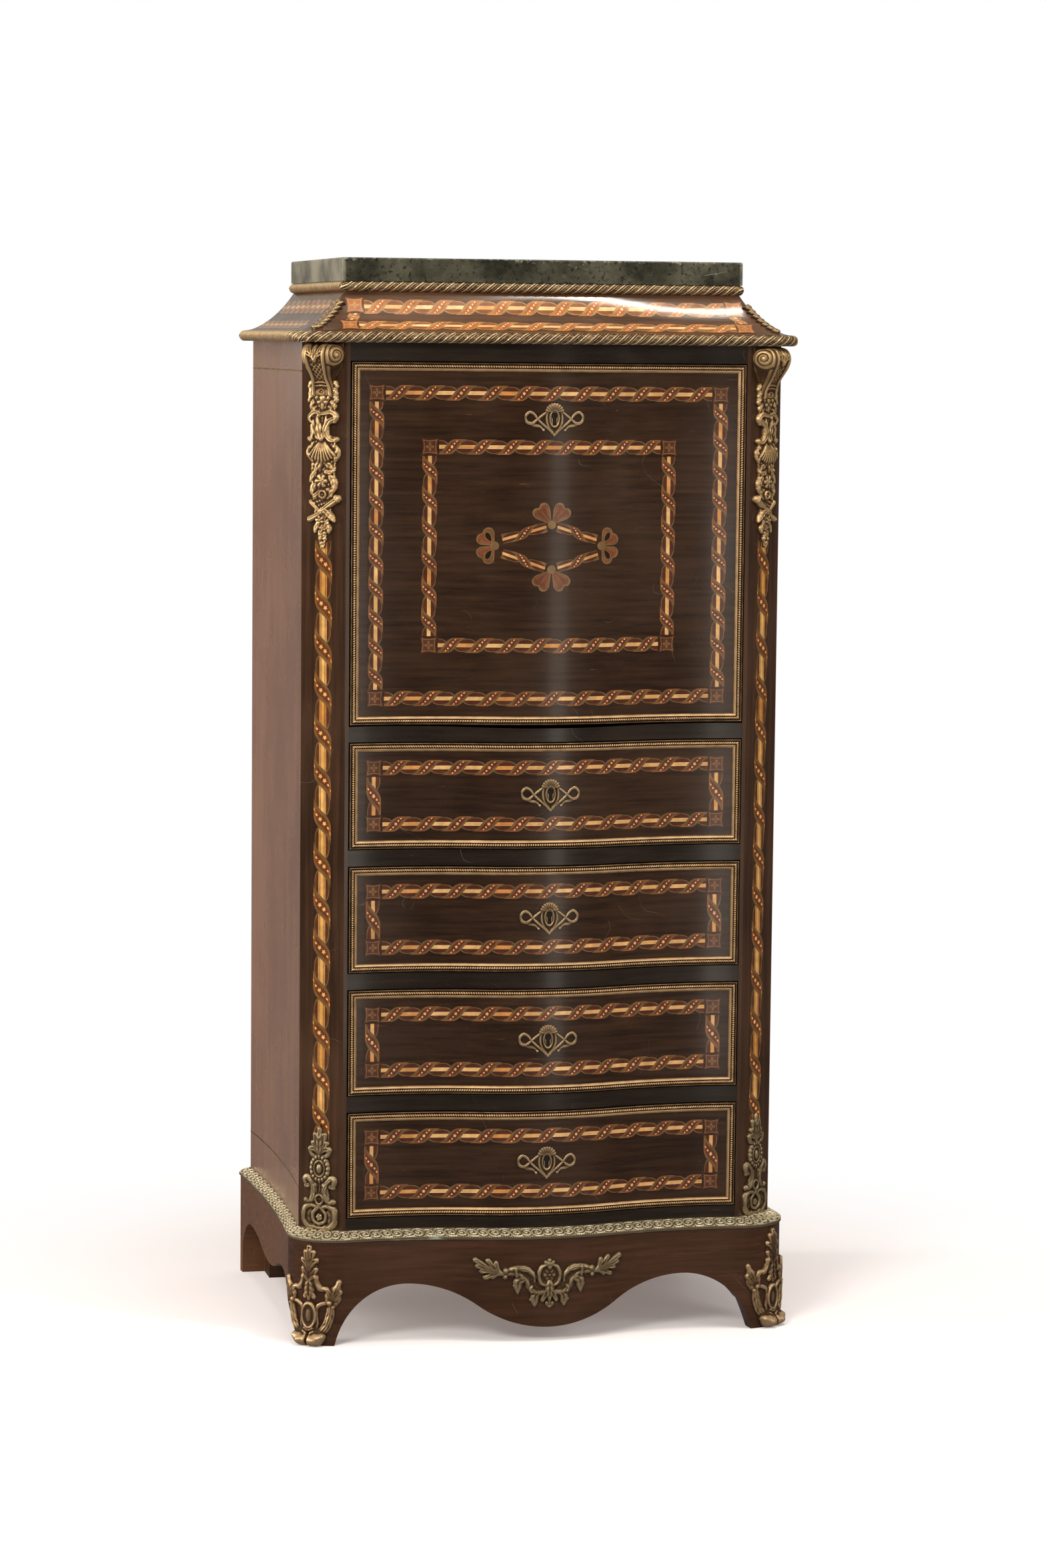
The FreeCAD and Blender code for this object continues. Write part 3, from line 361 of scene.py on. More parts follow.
class Value:
    """A node's output that is worked with as a number is: each step adds a Math node to its graph."""

    def __init__(self, graph: "Graph", socket: bpy.types.NodeSocket) -> None:
        """Keeps the graph and the socket."""
        self.graph, self.socket = graph, socket

    def __add__(self, other: "Input") -> "Value":
        """The sum."""
        return self.graph.math("ADD", self, other)

    def __sub__(self, other: "Input") -> "Value":
        """The difference."""
        return self.graph.math("SUBTRACT", self, other)

    def __rsub__(self, other: float) -> "Value":
        """The difference from a number."""
        return self.graph.math("SUBTRACT", other, self)

    def __mul__(self, other: "Input") -> "Value":
        """The product."""
        return self.graph.math("MULTIPLY", self, other)

    def __truediv__(self, other: "Input") -> "Value":
        """The quotient."""
        return self.graph.math("DIVIDE", self, other)

    def __pow__(self, other: float) -> "Value":
        """The power."""
        return self.graph.math("POWER", self, other)

    def __abs__(self) -> "Value":
        """The size without its sign."""
        return self.graph.math("ABSOLUTE", self)

    __radd__ = __add__
    __rmul__ = __mul__


Input = Value | float | Colour
Values = dict[str, Value]


class Graph:
    """Writes shader nodes into one node tree."""

    def __init__(self, tree: Tree) -> None:
        """Keeps the tree."""
        self.tree = tree

    def find(self, kind: str) -> bpy.types.Node:
        """The tree's own node of a type."""
        return next(n for n in self.tree.nodes if n.type == kind)

    def add(self, kind: str, values: dict[str | int, Input], **settings: object) -> bpy.types.Node:
        """Adds a node.

        Args:
            kind: its type.
            values: what its inputs get, by name or number.
            settings: attributes to set on it.

        Returns:
            The node.
        """
        node = self.tree.nodes.new(kind)
        for name, value in settings.items():
            setattr(node, name, value)
        for name, value in values.items():
            self.put(node.inputs[name], value)
        return node

    def put(self, socket: bpy.types.NodeSocket, value: Input) -> None:
        """Links a value to an input, or sets the input's number or colour.

        Args:
            socket: the input.
            value: what it gets.
        """
        if isinstance(value, Value):
            self.tree.links.new(value.socket, socket)
        else:
            socket.default_value = (*value, 1.0) if socket.type == "RGBA" else value

    def read(self, output: str | int, kind: str, values: dict[str | int, Input], **settings: object) -> Value:
        """Adds a node, as add does, and reads the output with a name or number."""
        return Value(self, self.add(kind, values, **settings).outputs[output])

    def math(self, operation: str, *values: Input) -> Value:
        """The result of a Math node."""
        return self.read(0, "ShaderNodeMath", dict(enumerate(values)), operation=operation)

    def most(self, a: Input, b: Input) -> Value:
        """The greater of two values."""
        return self.math("MAXIMUM", a, b)

    def reach(self, a: Value, b: Value) -> Value:
        """The length of a vector with two parts."""
        return self.math("SQRT", a * a + b * b)

    def mix(self, factor: Input, a: Input, b: Input, blend: str = "MIX") -> Value:
        """The colour between a and b, where factor is the share of b."""
        return self.read(2, "ShaderNodeMix", {0: factor, 6: a, 7: b}, data_type="RGBA", blend_type=blend)

    def fade(self, value: Input, low: float, high: float, start: float = 0.0, end: float = 1.0) -> Value:
        """A smooth step from start to end as value goes from low to high."""
        steps = dict(enumerate((value, low, high, start, end)))
        return self.read(0, "ShaderNodeMapRange", steps, interpolation_type="SMOOTHSTEP")

    def under(self, value: Input, low: float, high: float) -> Value:
        """A mask that is 1 below low and falls to 0 at high."""
        return self.fade(value, low, high, 1.0, 0.0)

    def stretch(self, vector: Value, scale: Spot, turn: Spot = (0.0, 0.0, 0.0)) -> Value:
        """A vector scaled on each axis and turned, in radians."""
        return self.read(0, "ShaderNodeMapping", {"Vector": vector, "Scale": scale, "Rotation": turn})

    def noise(self, vector: Value, scale: float, detail: float = 3.0, rough: float = 0.55) -> Value:
        """Soft noise from 0 to 1 at a place; detail counts its octaves and rough weighs the finer ones."""
        values = {"Vector": vector, "Scale": scale, "Detail": detail, "Roughness": rough}
        return self.read(0, "ShaderNodeTexNoise", values)

    def parts(self, vector: Value) -> tuple[Value, ...]:
        """The three numbers of a vector."""
        return tuple(Value(self, s) for s in self.add("ShaderNodeSeparateXYZ", {0: vector}).outputs)

    def rays(self, *names: str) -> tuple[Value, ...]:
        """Values that are 1 for a ray of the named kind, such as Camera, and 0 for others."""
        path = self.add("ShaderNodeLightPath", {})
        return tuple(Value(self, path.outputs[f"Is {name} Ray"]) for name in names)

    def use(self, group: Tree, **values: Input) -> Values:
        """Places a node group, sets its inputs by name and gives its outputs by name."""
        node = self.add("ShaderNodeGroup", values, node_tree=group)
        return {socket.name: Value(self, socket) for socket in node.outputs}


class Kind(Enum):
    """What a group's socket carries."""

    COLOUR = "NodeSocketColor"
    VALUE = "NodeSocketFloat"
    VECTOR = "NodeSocketVector"


COLOUR, VALUE, VECTOR = Kind
Build = Callable[[Graph, Values], Values]


def effect(inputs: dict[str, Kind], outputs: dict[str, Kind]) -> Callable[[Build], Callable[[], Tree]]:
    """Turns a function that writes an effect's nodes into one that gives its node group.

    Args:
        inputs, outputs: kind of each socket by its name.

    Returns:
        The decorator.
    """

    def wrap(build: Build) -> Callable[[], Tree]:
        """Wraps one effect's function.

        Args:
            build: writes the nodes from the group's inputs, and gives its outputs.

        Returns:
            A function that gives the group.
        """

        def group() -> Tree:
            """Makes the group on first use.

            Returns:
                The group, named after its function.
            """
            name = build.__name__.replace("_", " ")
            if name in bpy.data.node_groups:
                return bpy.data.node_groups[name]
            tree = bpy.data.node_groups.new(name, "ShaderNodeTree")
            for way, sockets in (("INPUT", inputs), ("OUTPUT", outputs)):
                for socket, kind in sockets.items():
                    tree.interface.new_socket(socket, in_out=way, socket_type=kind.value)
            g = Graph(tree)
            start = g.add("NodeGroupInput", {})
            made = build(g, {s.name: Value(g, s) for s in start.outputs if s.name})
            g.add("NodeGroupOutput", made)
            return tree

        return group

    return wrap


@effect({"Vector": VECTOR, "Along": VECTOR, "Dark": COLOUR, "Light": COLOUR, "Worn": COLOUR},
        {"Color": COLOUR, "Roughness": VALUE, "Height": VALUE})
def veneer_grain(g: Graph, i: Values) -> Values:
    """Veneer grain: fine streaks, soft mottling, hairline cracks, pale scratches and reddish chips.

    Args:
        g, i: the group's graph and its inputs.

    Returns:
        Color, Roughness and Height.
    """
    here, along = i["Vector"], i["Along"]
    streak = g.noise(along, 1.0, 7.0, 0.62)
    cloud = g.noise(here, 7.0, 3.0)
    colour = g.mix(g.fade(streak * 0.75 + cloud * 0.45, 0.38, 0.86), i["Dark"], i["Light"])
    crack = g.under(abs(g.noise(along, 0.55, 4.0, 0.5) - 0.5), 0.001, 0.006)
    crack = crack * g.fade(g.noise(here, 5.0, 2.0), 0.52, 0.6)
    colour = g.mix(crack * 0.14, colour, i["Worn"])
    line = abs(g.noise(g.stretch(here, (3.0, 3.0, 3.0), (0.3, 0.6, 0.2)), 4.0, 1.0) - 0.5)
    scratch = g.under(line, 0.0004, 0.0022) * g.fade(g.noise(here, 17.0, 2.0), 0.58, 0.66)
    colour = g.mix(scratch * 0.15, colour, (0.32, 0.26, 0.2))
    chip = g.fade(g.noise(along, 2.1, 3.0, 0.6), 0.69, 0.73) * g.fade(g.noise(here, 13.0, 2.0), 0.56, 0.62)
    colour = g.mix(chip * 0.8, colour, i["Worn"])
    rough = g.fade(cloud, 0.3, 0.75, 0.2, 0.36) + (chip + scratch) * 0.3
    return {"Color": colour, "Roughness": rough, "Height": streak * 0.25 - (crack + chip + scratch)}


@effect({"Map": VECTOR, "Ground": COLOUR, "Stick": COLOUR, "Pale": COLOUR, "Ribbon": COLOUR,
         "Edge": COLOUR, "Lines": VALUE}, {"Color": COLOUR, "Mask": VALUE})
def ribbon_inlay(g: Graph, i: Values) -> Values:
    """Ribbon wound round a stick: u counts the turns along the band, v runs from -1 to 1 across it.

    Behind lies an ellipse of ribbon, then the stick, then an S-shaped turn with brass edges, a star and dots.
    Lines rules the stick with dark lines and widens it.

    Args:
        g, i: the group's graph and its inputs.

    Returns:
        Color and Mask.
    """
    u, v, _ = g.parts(i["Map"])
    v = v / 0.93
    across = abs(v)
    within = g.under(across, 0.96, 1.0)
    off = g.math("WRAP", u - 0.5 - v * (across**4.0 * 0.12 + 0.2), 0.5, -0.5)
    side = abs(off)
    gap = (g.math("WRAP", u, 0.5, -0.5) - v * 0.1) / 0.37
    oval = g.reach(gap, across / 0.86)
    loop, inside = g.under(oval, 0.99, 1.03), g.under(oval, 0.87, 0.91)
    colour = g.mix(loop, i["Ground"], i["Edge"])
    colour = g.mix(inside, colour, g.mix(0.5, i["Ribbon"], i["Ground"]))
    cell = g.read("Value", "ShaderNodeTexWhiteNoise", {"W": g.math("FLOOR", u + 0.5)}, noise_dimensions="1D")
    tone = g.mix(cell, i["Stick"], i["Pale"])
    for place in (0.2, 0.31):
        tone = g.mix(g.under(abs(across - place), 0.016, 0.03) * i["Lines"], tone, (0.05, 0.025, 0.01))
    stick = g.under(across - (i["Lines"] * 0.15 + 0.23), 0.0, 0.03)
    colour = g.mix(stick * inside, colour, tone)
    turn, face = g.under(side, 0.225, 0.24) * within, g.under(side, 0.13, 0.145) * within
    colour = g.mix(turn, colour, i["Edge"])
    crest = g.mix(0.6, i["Ribbon"], i["Stick"])
    colour = g.mix(face, colour, g.mix(g.fade(across, 0.55, 1.3), i["Ribbon"], crest))
    hand = g.math("SIGN", v) * 0.2
    for centre, size, petals in ((0.0, 0.25, 5.0), (0.42, 0.125, 0.0), (0.72, 0.11, 0.0)):
        high = across - centre - i["Lines"] * 0.24
        long = (off + hand * high) * 4.2
        reach = g.reach(long, high)
        if petals:
            angle = g.math("ARCTAN2", high, long)
            reach = reach / (g.math("COSINE", angle * petals) * 0.22 + 0.78)
        colour = g.mix(g.under(reach, size * 0.8, size) * face, colour, i["Pale"])
    return {"Color": colour, "Mask": g.most(loop, turn)}


@effect({"Map": VECTOR, "Ground": COLOUR, "Ribbon": COLOUR, "Edge": COLOUR},
        {"Color": COLOUR, "Mask": VALUE})
def corner_square(g: Graph, i: Values) -> Values:
    """Corner square with hollow sides, a brass edge and a four-petalled flower; the map runs from -1 to 1.

    Args:
        g, i: the group's graph and its inputs.

    Returns:
        Color and Mask.
    """
    u, v, _ = g.parts(i["Map"])
    a, b = abs(u), abs(v)
    reach = g.most(a - b * b * 0.2, b - a * a * 0.2)
    inside = g.under(reach, 0.76, 0.79)
    colour = g.mix(inside, i["Ground"], i["Ribbon"])
    colour = g.mix(inside * g.under(abs(reach - 0.62), 0.02, 0.05), colour, i["Edge"])
    near, far = g.math("MINIMUM", a, b) / 0.15, (g.most(a, b) - 0.27) / 0.22
    petal = g.under(near * near + far * far, 0.7, 1.1)
    return {"Color": g.mix(petal * 0.75, colour, i["Edge"]), "Mask": inside}


@effect({"Map": VECTOR, "Ribbon": COLOUR, "Edge": COLOUR, "Hole": COLOUR, "Open": VALUE},
        {"Color": COLOUR})
def bow_loop(g: Graph, i: Values) -> Values:
    """Loop of a bow: v runs from -1 to 1 across it, u from the knot to the tip; Open shows its dark eye.

    Args:
        g, i: the group's graph and its inputs.

    Returns:
        Color.
    """
    u, v, _ = g.parts(i["Map"])
    streak = g.fade(g.math("COSINE", v * 9.4), 0.72, 0.9) * g.fade(u, 0.75, 0.85, 0.8, 0.0)
    colour = g.mix(streak, i["Ribbon"], i["Edge"])
    inner, off = (u - 0.56) / 0.3, (v - 0.2) / 0.36
    hole = off * off + inner * inner
    colour = g.mix(g.under(hole, 0.9, 1.3) * i["Open"], colour, i["Edge"])
    colour = g.mix(g.under(hole, 0.6, 0.75) * i["Open"], colour, i["Hole"])
    return {"Color": g.mix(g.fade(g.most(abs(v), u - 0.07), 0.82, 0.86), colour, i["Edge"])}


@effect({"Vector": VECTOR, "Relief": VALUE, "Gilt": COLOUR, "Bright": COLOUR, "Hollow": COLOUR,
         "Verdigris": VALUE},
        {"Color": COLOUR, "Roughness": VALUE, "Metal": VALUE, "Height": VALUE})
def patina(g: Graph, i: Values) -> Values:
    """Aged gilding with painted light: a painted highlight on the high places, painted shade with brown
    patina in the hollows, and patches of verdigris.

    Args:
        g, i: the group's graph and its inputs.

    Returns:
        Color, Roughness, Metal and Height.
    """
    here, relief = i["Vector"], i["Relief"]
    cloud, fine = g.noise(here, 60.0, 4.0, 0.6), g.noise(here, 420.0, 3.0, 0.6)
    high = relief + (cloud - 0.5) * 0.5
    # Painted shade with brown patina in the hollows, then a painted highlight on the high places.
    colour = g.mix(g.fade(high, 0.28, 0.72), i["Hollow"], i["Gilt"])
    colour = g.mix(g.fade(high, 0.62, 1.0) * 0.7, colour, i["Bright"])
    patch = g.noise(here, 16.0, 3.0) + (0.5 - relief) * 0.16
    green = g.fade(patch - (0.86 - i["Verdigris"] * 0.42), 0.0, 0.12) * 0.75
    colour = g.mix(green, colour, (0.27, 0.33, 0.25))
    dull = g.most(green, g.under(high, 0.1, 0.4) * 0.55)
    rough = g.fade(high, 0.2, 0.9, 0.66, 0.47) + green * 0.3 + (fine - 0.5) * 0.2
    return {"Color": colour, "Roughness": rough, "Metal": (1.0 - dull) * 0.8, "Height": fine + cloud}


# Finishes


class Surface(Graph):
    """The node tree of one material, with its surface shader."""

    def __init__(self, material: bpy.types.Material) -> None:
        """Turns the material's nodes on and finds its shader.

        Args:
            material: the material.
        """
        material.use_nodes = True
        super().__init__(material.node_tree)
        self.shader = self.find("BSDF_PRINCIPLED")

    def here(self, kind: str = "Object") -> Value:
        """Places on the piece: in metres, or on its own map where kind is UV."""
        return self.read(kind, "ShaderNodeTexCoord", {})

    def wear(self, **values: Input) -> None:
        """Links or sets the shader's inputs; an underscore in a name stands for a space."""
        for name, value in values.items():
            self.put(self.shader.inputs[name.replace("_", " ")], value)

    def bump(self, height: Value, depth: float, strength: float) -> None:
        """Feeds a height into the shader's normal, where a height of 1 is depth metres deep."""
        values = {"Height": height, "Distance": depth, "Strength": strength}
        self.wear(Normal=self.read(0, "ShaderNodeBump", values))


class Finish:
    """A named surface with a material that is made once, and a slot name."""

    name: str
    slot: str

    def material(self) -> bpy.types.Material:
        """The finish's material.

        Returns:
            The material, made on first use.
        """
        made = bpy.data.materials.get(self.name)
        if made is None:
            made = bpy.data.materials.new(self.name)
            self.dress(Surface(made))
        return made

    def dress(self, g: Surface) -> None:
        """Writes the finish's nodes into a material's graph."""
        raise NotImplementedError


class Run(Enum):
    """Which way a wood's grain runs: the scale of its streaks on each axis."""

    LEVEL = (6.0, 60.0, 170.0)
    UPRIGHT = (150.0, 90.0, 5.0)
    DEEP = (120.0, 6.0, 120.0)


@dataclass(frozen=True)
class Veneer(Finish):
    """Varnished veneer with its grain along one axis."""

    name: str
    slot: str
    dark: Colour
    light: Colour
    worn: Colour
    run: Run = Run.LEVEL
    coat: float = 0.3

    def ground(self, g: Surface) -> Values:
        """The varnished veneer without its colour, which an inlay may change.

        Args:
            g: the material's graph.

        Returns:
            The bare veneer's Color, Roughness and Height.
        """
        here = g.here()
        tones = {"Dark": self.dark, "Light": self.light, "Worn": self.worn}
        made = g.use(veneer_grain(), Vector=here, Along=g.stretch(here, self.run.value), **tones)
        g.wear(Roughness=made["Roughness"], Specular_IOR_Level=0.25)
        g.wear(Coat_Weight=self.coat, Coat_Roughness=0.14, Coat_IOR=1.45)
        g.bump(made["Height"], 0.0001, 0.3)
        return made

    def dress(self, g: Surface) -> None:
        """Shows the bare veneer."""
        g.wear(Base_Color=self.ground(g)["Color"])


class Motif(Enum):
    """Which inlay is drawn on a strip."""

    RIBBON = "ribbon"
    SQUARE = "square"
    LOOP = "loop"


@dataclass(frozen=True)
class Inlay(Finish):
    """Inlay drawn on a strip's own map; lines rules a ribbon's stick or opens a loop's eye."""

    name: str
    wood: Veneer
    motif: Motif
    stick: Colour = (0.44, 0.195, 0.052)
    pale: Colour = (0.58, 0.365, 0.15)
    ribbon: Colour = (0.105, 0.025, 0.012)
    edge: Colour = (0.125, 0.072, 0.03)
    lines: float = 0.0

    @property
    def slot(self) -> str:
        """The slot of the veneer round it."""
        return self.wood.slot

    def dress(self, g: Surface) -> None:
        """Draws the motif over the veneer, under the same varnish, a little cloudy.

        Args:
            g: the material's graph.
        """
        wood = self.wood.ground(g)["Color"]
        common = {"Map": g.here("UV"), "Ribbon": self.ribbon, "Edge": self.edge}
        if self.motif is Motif.RIBBON:
            sticks = {"Stick": self.stick, "Pale": self.pale, "Lines": self.lines}
            made = g.use(ribbon_inlay(), Ground=wood, **sticks, **common)
        elif self.motif is Motif.SQUARE:
            made = g.use(corner_square(), Ground=wood, **common)
        else:
            made = g.use(bow_loop(), Hole=self.wood.dark, Open=self.lines, **common)
        tone = g.fade(g.noise(g.here(), 90.0, 3.0), 0.3, 0.75, 0.78, 1.15)
        shade = g.read(0, "ShaderNodeCombineColor", {0: tone, 1: tone, 2: tone})
        tinted = g.mix(1.0, made["Color"], shade, "MULTIPLY")
        g.wear(Base_Color=g.mix(made.get("Mask", 1.0), wood, tinted))


@dataclass(frozen=True)
class Gilt(Finish):
    """Aged gilt bronze that reads each piece's relief value: painted shade with brown patina in the hollows
    and a painted highlight on the high places.
    """

    name: str
    gilt: Colour
    # The second colour is a painted highlight for the high places; the third is painted shade with brown
    # patina for the hollows.
    bright: Colour
    hollow: Colour
    verdigris: float
    slot: str = "gilt_bronze"

    def dress(self, g: Surface) -> None:
        """Paints a highlight on the high places, and shade with brown patina in the hollows.

        Args:
            g: the material's graph.
        """
        relief = g.read("Fac", "ShaderNodeAttribute", {}, attribute_name="relief")
        tones = {"Gilt": self.gilt, "Bright": self.bright, "Hollow": self.hollow}
        made = g.use(patina(), Vector=g.here(), Relief=relief, Verdigris=self.verdigris, **tones)
        g.wear(Base_Color=made["Color"], Roughness=made["Roughness"], Metallic=made["Metal"])
        g.bump(made["Height"], 0.00012, 0.6)


@dataclass(frozen=True)
class Marble(Finish):
    """Dark green marble with black specks, pale flecks, a few veins and painted light that makes the end
    faces paler; sizes in metres.
    """

    name: str = "dark green marble"
    slot: str = "marble"
    half: float = 0.2615
    top: float = 1.4

    def dress(self, g: Surface) -> None:
        """Clouds the stone, then adds specks, flecks and veins.

        Args:
            g: the material's graph.
        """
        here = g.here()
        x, _, z = g.parts(here)
        cloud = g.noise(here, 14.0, 5.0, 0.65)
        colour = g.mix(g.fade(cloud, 0.3, 0.7), (0.012, 0.012, 0.007), (0.088, 0.085, 0.056))
        speck = g.fade(g.noise(here, 150.0, 4.0, 0.65), 0.55, 0.62)
        colour = g.mix(speck * 0.85, colour, (0.008, 0.009, 0.008))
        # Pale flecks gather along the top edge: wear, and a painted highlight on the arris.
        arris = g.fade(z, self.top - 0.007, self.top) * 0.2
        fleck = g.fade(g.noise(here, 190.0, 3.0) + arris * 0.5, 0.64, 0.7)
        fleck = fleck * g.fade(g.noise(here, 9.0, 3.0) + arris, 0.46, 0.62)
        colour = g.mix(fleck * 0.4, colour, (0.3, 0.3, 0.24))
        slanted = g.stretch(here, (1.0, 1.6, 2.6), (0.2, 0.5, 0.4))
        vein = g.under(abs(g.noise(slanted, 4.2, 3.0, 0.45) - 0.5), 0.001, 0.007)
        vein = vein * g.fade(g.noise(here, 6.0, 2.0), 0.5, 0.62)
        colour = g.mix(vein * 0.6, colour, (0.3, 0.33, 0.27))
        # Painted light: the end faces are painted paler, as the lit side of the slab.
        ends = g.fade(abs(x), self.half - 0.002, self.half, 0.0, 0.85)
        colour = g.mix(ends * g.fade(cloud, 0.25, 0.7), colour, (0.27, 0.25, 0.19))
        g.wear(Base_Color=colour, Roughness=g.fade(cloud, 0.3, 0.8, 0.26, 0.46), Specular_IOR_Level=0.4)
        g.bump(cloud - speck, 0.0003, 0.4)


@dataclass(frozen=True)
class PlainWood(Finish):
    """Planed wood with open grain, for the boxes and the inside."""

    name: str
    slot: str
    dark: Colour
    light: Colour
    run: Run = Run.LEVEL
    rough: float = 0.55

    def dress(self, g: Surface) -> None:
        """Runs rings and pores along the board.

        Args:
            g: the material's graph.
        """
        here = g.here()
        rings = g.noise(g.stretch(here, tuple(0.25 * s for s in self.run.value)), 1.0, 3.0, 0.5)
        pores = g.noise(g.stretch(here, self.run.value), 2.2, 5.0, 0.7)
        g.wear(Base_Color=g.mix(g.fade(rings * 0.6 + pores * 0.5, 0.35, 0.75), self.dark, self.light),
               Roughness=g.fade(pores, 0.2, 0.8, self.rough - 0.1, self.rough + 0.15))
        g.bump(pores, 0.0003, 0.5)


@dataclass(frozen=True)
class Metal(Finish):
    """Plain worked metal with fine wear."""

    name: str
    slot: str
    tone: Colour
    tarnish: Colour

    def dress(self, g: Surface) -> None:
        """Clouds the metal with tarnish.

        Args:
            g: the material's graph.
        """
        here = g.here()
        brush = g.noise(g.stretch(here, (900.0, 900.0, 60.0)), 1.0, 2.0)
        cloud = g.fade(g.noise(here, 70.0, 4.0, 0.6), 0.35, 0.7)
        g.wear(Base_Color=g.mix(cloud, self.tarnish, self.tone), Metallic=1.0)
        g.wear(Roughness=g.fade(brush, 0.2, 0.8, 0.25, 0.45))
        g.bump(brush, 0.0001, 0.3)


@dataclass(frozen=True)
class Leather(Finish):
    """Writing leather with a gilt tooled border, placed in metres on the closed fall front."""

    name: str = "writing leather"
    slot: str = "leather"
    tone: Colour = (0.14, 0.028, 0.016)
    half: float = 0.215
    middle: float = 1.0292
    rise: float = 0.145

    def dress(self, g: Surface) -> None:
        """Pebbles the hide and rules two gilt lines round it.

        Args:
            g: the material's graph.
        """
        here = g.here()
        x, _, z = g.parts(here)
        grain = {"Vector": here, "Scale": 700.0}
        pebble = g.read(0, "ShaderNodeTexVoronoi", grain, feature="DISTANCE_TO_EDGE")
        cloud = g.noise(here, 12.0, 4.0)
        colour = g.mix(g.fade(cloud, 0.3, 0.7), tuple(0.6 * c for c in self.tone), self.tone)
        inset = g.math("MINIMUM", self.half - abs(x), self.rise - abs(z - self.middle))
        wide, thin = g.under(abs(inset - 0.014), 0.0014, 0.002), g.under(abs(inset - 0.019), 0.0004, 0.0007)
        gold = g.most(wide, thin) * g.fade(g.noise(here, 150.0, 3.0), 0.3, 0.5)
        g.wear(Base_Color=g.mix(gold, colour, (0.6, 0.4, 0.14)), Metallic=gold)
        g.wear(Roughness=g.fade(cloud, 0.3, 0.7, 0.42, 0.6))
        g.bump(pebble, 0.0002, 0.4)


DARK = Veneer("dark veneer", "dark_veneer",
              (0.0145, 0.0067, 0.0033), (0.0435, 0.0202, 0.0098), (0.13, 0.045, 0.02))
RAIL = Veneer("rail veneer", "dark_veneer",
              (0.009, 0.0062, 0.0042), (0.024, 0.015, 0.0095), (0.1, 0.04, 0.02))
POST = Veneer("post veneer", "case_veneer",
              (0.021, 0.0095, 0.0046), (0.06, 0.027, 0.0125), (0.2, 0.07, 0.025), Run.UPRIGHT)
SIDE = Veneer("side veneer", "case_veneer",
              (0.165, 0.09, 0.064), (0.21, 0.121, 0.088), (0.26, 0.13, 0.08), Run.UPRIGHT, 0.12)
PLINTH = Veneer("plinth veneer", "case_veneer",
                (0.03, 0.0125, 0.006), (0.062, 0.026, 0.0125), (0.2, 0.075, 0.03), coat=0.22)
# A lighter copy of the plinth veneer for the side aprons: painted light for the lit side.
PLINTH_SIDE_PAINTED_LIGHTER = Veneer("plinth side veneer", "case_veneer",
                     (0.085, 0.036, 0.017), (0.15, 0.064, 0.03), (0.24, 0.1, 0.045), coat=0.08)
COVE = Veneer("cornice veneer", "case_veneer",
              (0.04, 0.018, 0.009), (0.11, 0.053, 0.026), (0.3, 0.13, 0.05), coat=0.7)
FRONT_RIBBON = Inlay("front ribbon", DARK, Motif.RIBBON)
FRONT_SQUARE = Inlay("front square", DARK, Motif.SQUARE,
                     ribbon=(0.07, 0.024, 0.011), edge=(0.18, 0.09, 0.036))
BOW = Inlay("bow", DARK, Motif.LOOP, ribbon=(0.125, 0.036, 0.015), edge=(0.15, 0.088, 0.036))
OPEN_BOW = Inlay("open bow", DARK, Motif.LOOP,
                 ribbon=(0.15, 0.044, 0.016), edge=(0.15, 0.088, 0.036), lines=1.0)
POST_RIBBON = Inlay("post ribbon", POST, Motif.RIBBON,
                    (0.47, 0.2, 0.037), (0.62, 0.355, 0.11), (0.115, 0.03, 0.01), (0.135, 0.07, 0.022), 1.0)
COVE_RIBBON = Inlay("cornice ribbon", COVE, Motif.RIBBON,
                    (0.64, 0.34, 0.115), (0.75, 0.51, 0.25), (0.36, 0.11, 0.03), (0.34, 0.18, 0.062))
COVE_SQUARE = Inlay("cornice square", COVE, Motif.SQUARE,
                    ribbon=(0.34, 0.115, 0.034), edge=(0.42, 0.22, 0.076))
GILT = Gilt("aged gilding", (0.4, 0.25, 0.115), (0.8, 0.57, 0.3), (0.06, 0.028, 0.012), 0.12)
FRAME = Gilt("frame gilding", (0.45, 0.27, 0.13), (1.0, 0.72, 0.42), (0.022, 0.011, 0.005), 0.05)
ROPE = Gilt("rope gilding", (0.46, 0.315, 0.175), (1.0, 0.79, 0.5), (0.02, 0.011, 0.006), 0.08)
FOOT = Gilt("foot gilding", (0.34, 0.21, 0.108), (0.7, 0.5, 0.3), (0.05, 0.023, 0.009), 0.2)
KEYPLATE = Gilt("keyplate gilding", (0.205, 0.127, 0.066), (0.64, 0.46, 0.27), (0.04, 0.022, 0.011), 0.1)
GREENED = Gilt("gilding with verdigris", (0.2, 0.135, 0.07), (0.46, 0.36, 0.22), (0.05, 0.024, 0.01), 0.34)
CRUSTED = Gilt("gilding under verdigris", (0.66, 0.57, 0.39), (0.92, 0.84, 0.63), (0.1, 0.075, 0.043), 0.5)
MARBLE = Marble()
OAK = PlainWood("planed oak", "oak", (0.17, 0.095, 0.042), (0.36, 0.235, 0.125), Run.DEEP)
OAK_LEVEL = PlainWood("planed oak across", "oak", (0.16, 0.09, 0.04), (0.34, 0.22, 0.115))
NEST = PlainWood("fruitwood", "nest_veneer", (0.2, 0.085, 0.03), (0.4, 0.2, 0.085), rough=0.34)
KEYHOLE = PlainWood("keyhole shade", "steel", (0.003, 0.0025, 0.002), (0.008, 0.006, 0.005), rough=0.8)
BRASS = Metal("worked brass", "brass", (0.62, 0.43, 0.16), (0.34, 0.22, 0.09))
STEEL = Metal("blued steel", "steel", (0.22, 0.22, 0.23), (0.1, 0.085, 0.075))
LEATHER = Leather()


# Making pieces


